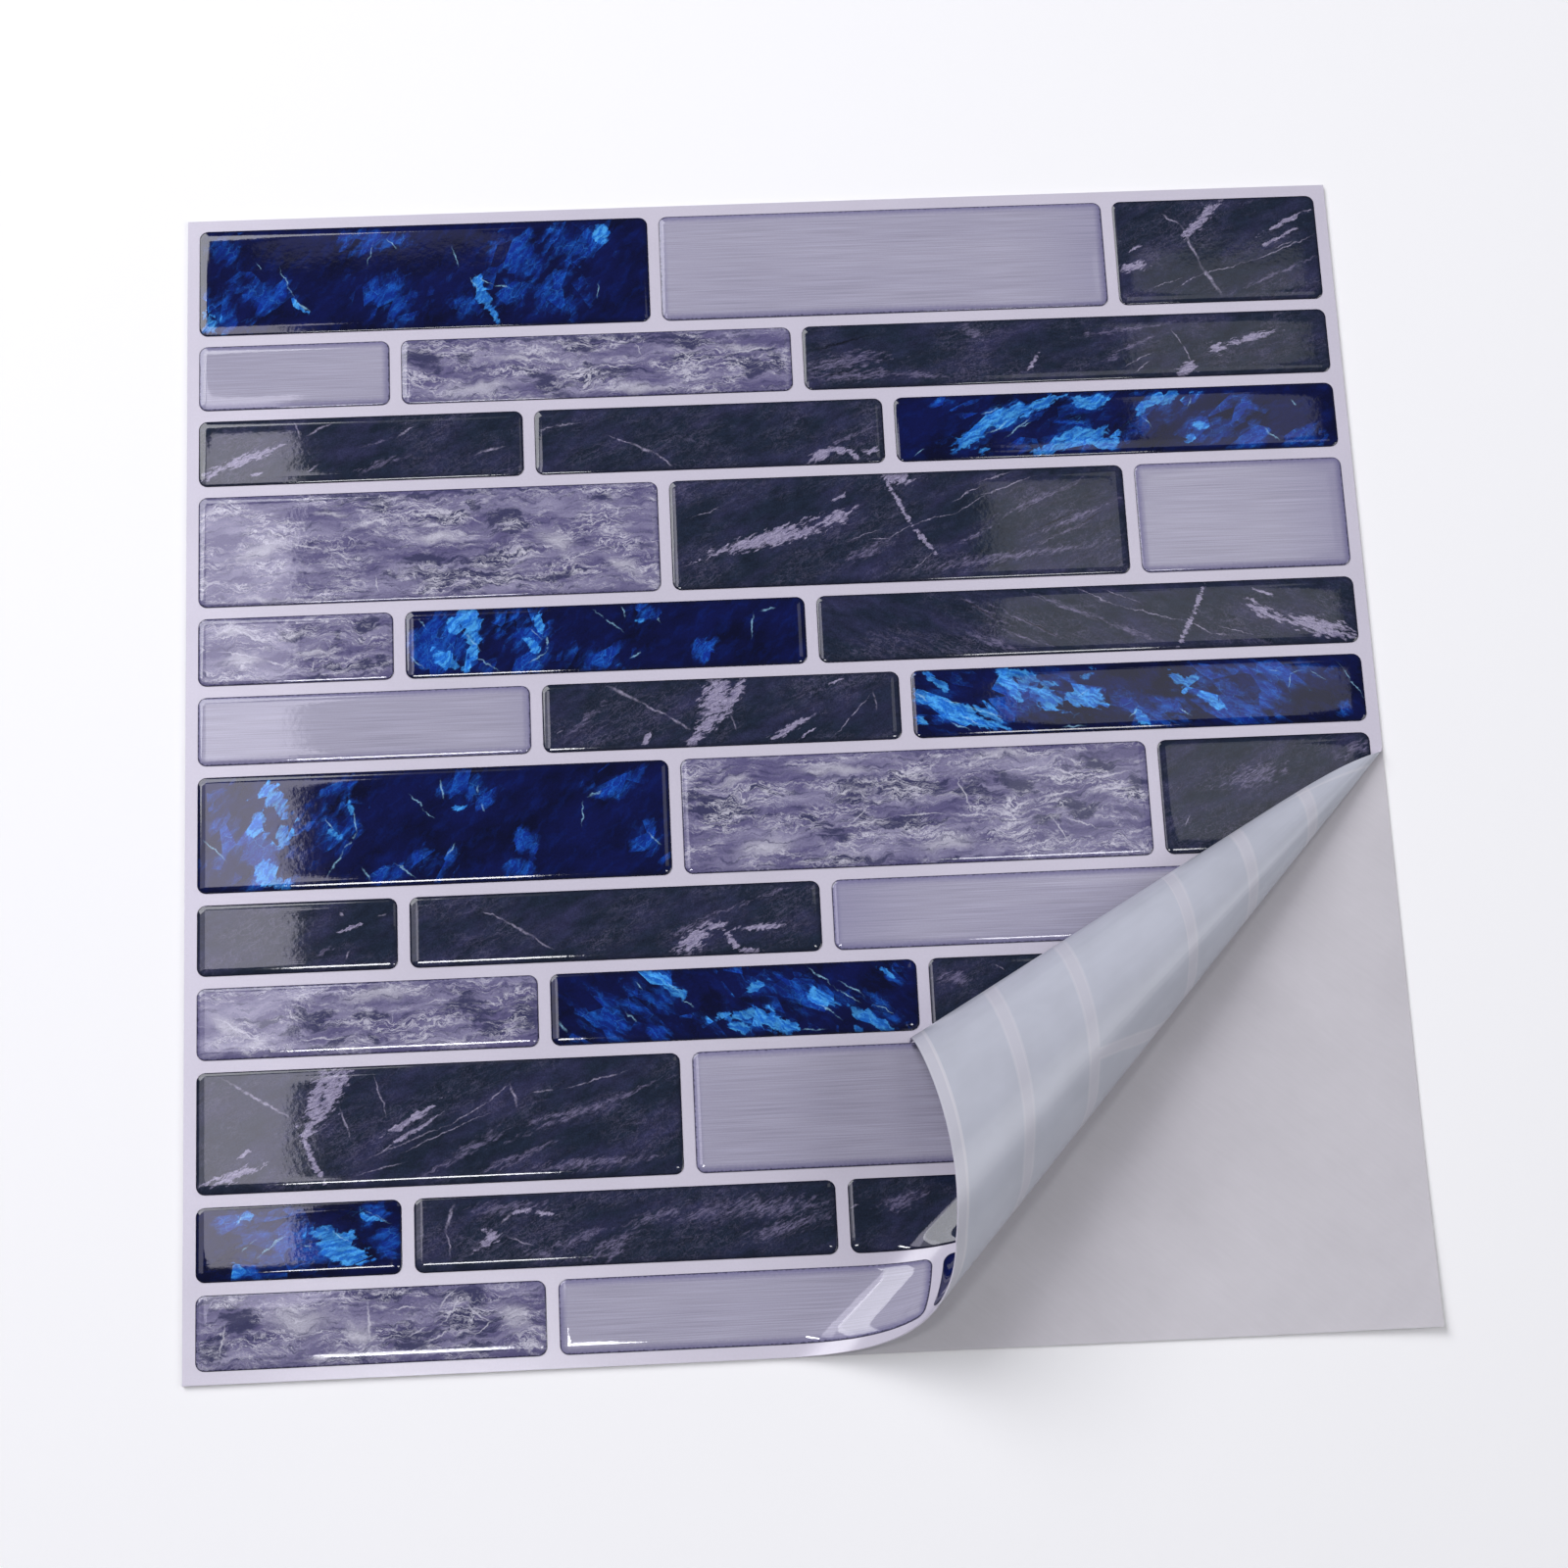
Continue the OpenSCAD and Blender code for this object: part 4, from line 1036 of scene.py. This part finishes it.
class BACKSPLASH_OT_tiles(bpy.types.Operator):
    """Builds the gel tiles: one blank, copied and stretched to each tile's size"""
    bl_idname = "backsplash.tiles"
    bl_label = "Gel tiles"

    def make_blank(self, sizes, side):
        """A small gel tile at the origin with round corners and a domed rim."""
        foot = sizes.liner_t + sizes.film_t
        blank = add_block("gel_blank", (side, side, sizes.gel_wall), (0, 0, foot + sizes.gel_wall / 2))
        pick(blank, "EDGE", lambda edge: abs(blank.data.vertices[edge.vertices[0]].co.z
                                             - blank.data.vertices[edge.vertices[1]].co.z) > sizes.gel_wall / 2)
        bpy.ops.mesh.bevel(offset=sizes.corner_r, segments=7, affect="EDGES")
        bpy.ops.object.mode_set(mode="OBJECT")
        pick(blank, "FACE", lambda face: face.normal.z > 0.9)
        before, height = 0.0, sizes.gel_wall
        for inward, share in GEL_SKIN:
            level = share * sizes.gel_t
            bpy.ops.mesh.inset(thickness=(inward - before) * MM, depth=0.0)
            bpy.ops.transform.translate(value=(0, 0, level - height))
            before, height = inward, level
            if abs(inward * MM - sizes.corner_r) < CORNER_NEAR:
                # The round corners have shrunk to almost a point, so they go on as one.
                bpy.ops.mesh.remove_doubles(threshold=CORNER_MERGE)
                bpy.ops.object.mode_set(mode="OBJECT")
                top = max(blank.data.polygons, key=lambda face: face.center.z).index
                pick(blank, "FACE", lambda face: face.index == top)
        bpy.ops.object.mode_set(mode="OBJECT")
        return blank

    def execute(self, context):
        sizes = context.scene.sheet_sizes
        shape = context.scene.roll_shape
        colours = context.scene.print_colours
        lines = roll_lines(sizes, shape)
        side = BLANK_SHARE * sizes.low_h
        blank = self.make_blank(sizes, side)
        for place, (name, finish, centre, size) in enumerate(tile_layout(sizes)):
            piece = blank.copy()
            piece.data = blank.data.copy()
            piece.name = piece.data.name = "gel_" + name
            context.collection.objects.link(piece)
            # The halves of the blank move apart, so that the corners and the domed rim keep their shape.
            for axis in (0, 1):
                grow = (size[axis] - side) / 2
                for half in (-1, 1):
                    pick(piece, "VERT", lambda vertex: vertex.co[axis] * half > 0)
                    push = [0, 0, 0]
                    push[axis] = half * grow
                    bpy.ops.transform.translate(value=push)
                    bpy.ops.object.mode_set(mode="OBJECT")
            pick(piece, "VERT", lambda vertex: True)
            bpy.ops.transform.translate(value=(centre.x, centre.y, 0))
            bpy.ops.object.mode_set(mode="OBJECT")
            bent = max(fan_of(vertex.co, lines) for vertex in piece.data.vertices) > 0
            if bent:
                cut_along_roll(piece, sizes, shape)
            flat_uv(piece, "print", centre)
            if bent:
                roll_up(piece, sizes, shape)
            smooth(piece, 40)
            shift = [place * step for step in NOISE_STEP]
            piece.data.materials.append(gel_material(name, finish, colours, size, sizes, shift))
            hand_over(piece, "tile_" + name)
        bpy.data.objects.remove(blank, do_unlink=True)
        return {"FINISHED"}


class BACKSPLASH_OT_studio(bpy.types.Operator):
    """Builds the floor, the lights and the camera"""
    bl_idname = "backsplash.studio"
    bl_label = "Studio"

    def execute(self, context):
        values = context.scene.studio_values
        bpy.ops.object.select_all(action="DESELECT")
        bpy.ops.mesh.primitive_plane_add(size=values.floor_side, location=(0, 0, -values.floor_gap))
        floor = context.object
        floor.name = "floor"
        material, tree = new_material("Plain pale floor")
        finish_material(tree, add_node(tree, "ShaderNodeBsdfPrincipled", {"Base Color": values.floor, "Roughness": 0.9,
                                                                           "Specular IOR Level": 0.1}))
        floor.data.materials.append(material)
        world = bpy.data.worlds.new("Even studio light")
        context.scene.world = world
        world.use_nodes = True
        background = world.node_tree.nodes["Background"]
        background.inputs["Color"].default_value = values.sky_light
        background.inputs["Strength"].default_value = values.sky
        for name, place, aim, wide, high, power in LAMPS:
            direction = Vector(place) - Vector(aim) if aim else Vector((0, 0, 1))
            bpy.ops.object.light_add(type="AREA", location=place, rotation=direction.to_track_quat("Z", "Y").to_euler())
            lamp = context.object
            lamp.name = name
            lamp.data.shape = "RECTANGLE"
            lamp.data.size, lamp.data.size_y = wide, high
            lamp.data.energy = power
            lamp.data.color = (values.window_light if name.startswith("window") else values.lamp_light)[:3]
        bpy.ops.object.camera_add(location=CAMERA_PLACE, rotation=[math.radians(turn) for turn in CAMERA_TURN])
        camera = context.object
        camera.data.sensor_width = 36
        camera.data.lens = values.lens
        camera.data.clip_start = 0.01
        context.scene.camera = camera
        context.scene.view_settings.view_transform = "Standard"
        return {"FINISHED"}


class BACKSPLASH_PT_panel(bpy.types.Panel):
    """Lists the steps that build the sheet"""
    bl_label = "Backsplash sheet"
    bl_idname = "BACKSPLASH_PT_panel"
    bl_space_type = "VIEW_3D"
    bl_region_type = "UI"
    bl_category = "Backsplash"

    def draw(self, context):
        for step in STEPS:
            self.layout.operator(step.bl_idname)
        for group in GROUPS:
            box = self.layout.box()
            values = getattr(context.scene, group)
            for name in values.__annotations__:
                box.prop(values, name)


STEPS = (BACKSPLASH_OT_liner, BACKSPLASH_OT_film, BACKSPLASH_OT_tiles, BACKSPLASH_OT_studio)
GROUPS = {"sheet_sizes": SheetSizes, "roll_shape": RollShape, "print_colours": PrintColours,
          "studio_values": StudioValues}
CLASSES = tuple(GROUPS.values()) + STEPS + (BACKSPLASH_PT_panel,)


def register():
    """Registers the classes and puts the values on the scene."""
    for cls in CLASSES:
        bpy.utils.register_class(cls)
    for name, cls in GROUPS.items():
        setattr(bpy.types.Scene, name, PointerProperty(type=cls))


def unregister():
    """Takes the values and the classes out again."""
    for name in GROUPS:
        delattr(bpy.types.Scene, name)
    for cls in reversed(CLASSES):
        bpy.utils.unregister_class(cls)


def main():
    """Builds the pieces in order."""
    register()
    bpy.ops.backsplash.liner()
    bpy.ops.backsplash.film()
    bpy.ops.backsplash.tiles()
    bpy.ops.backsplash.studio()


if __name__ == "__main__":
    main()
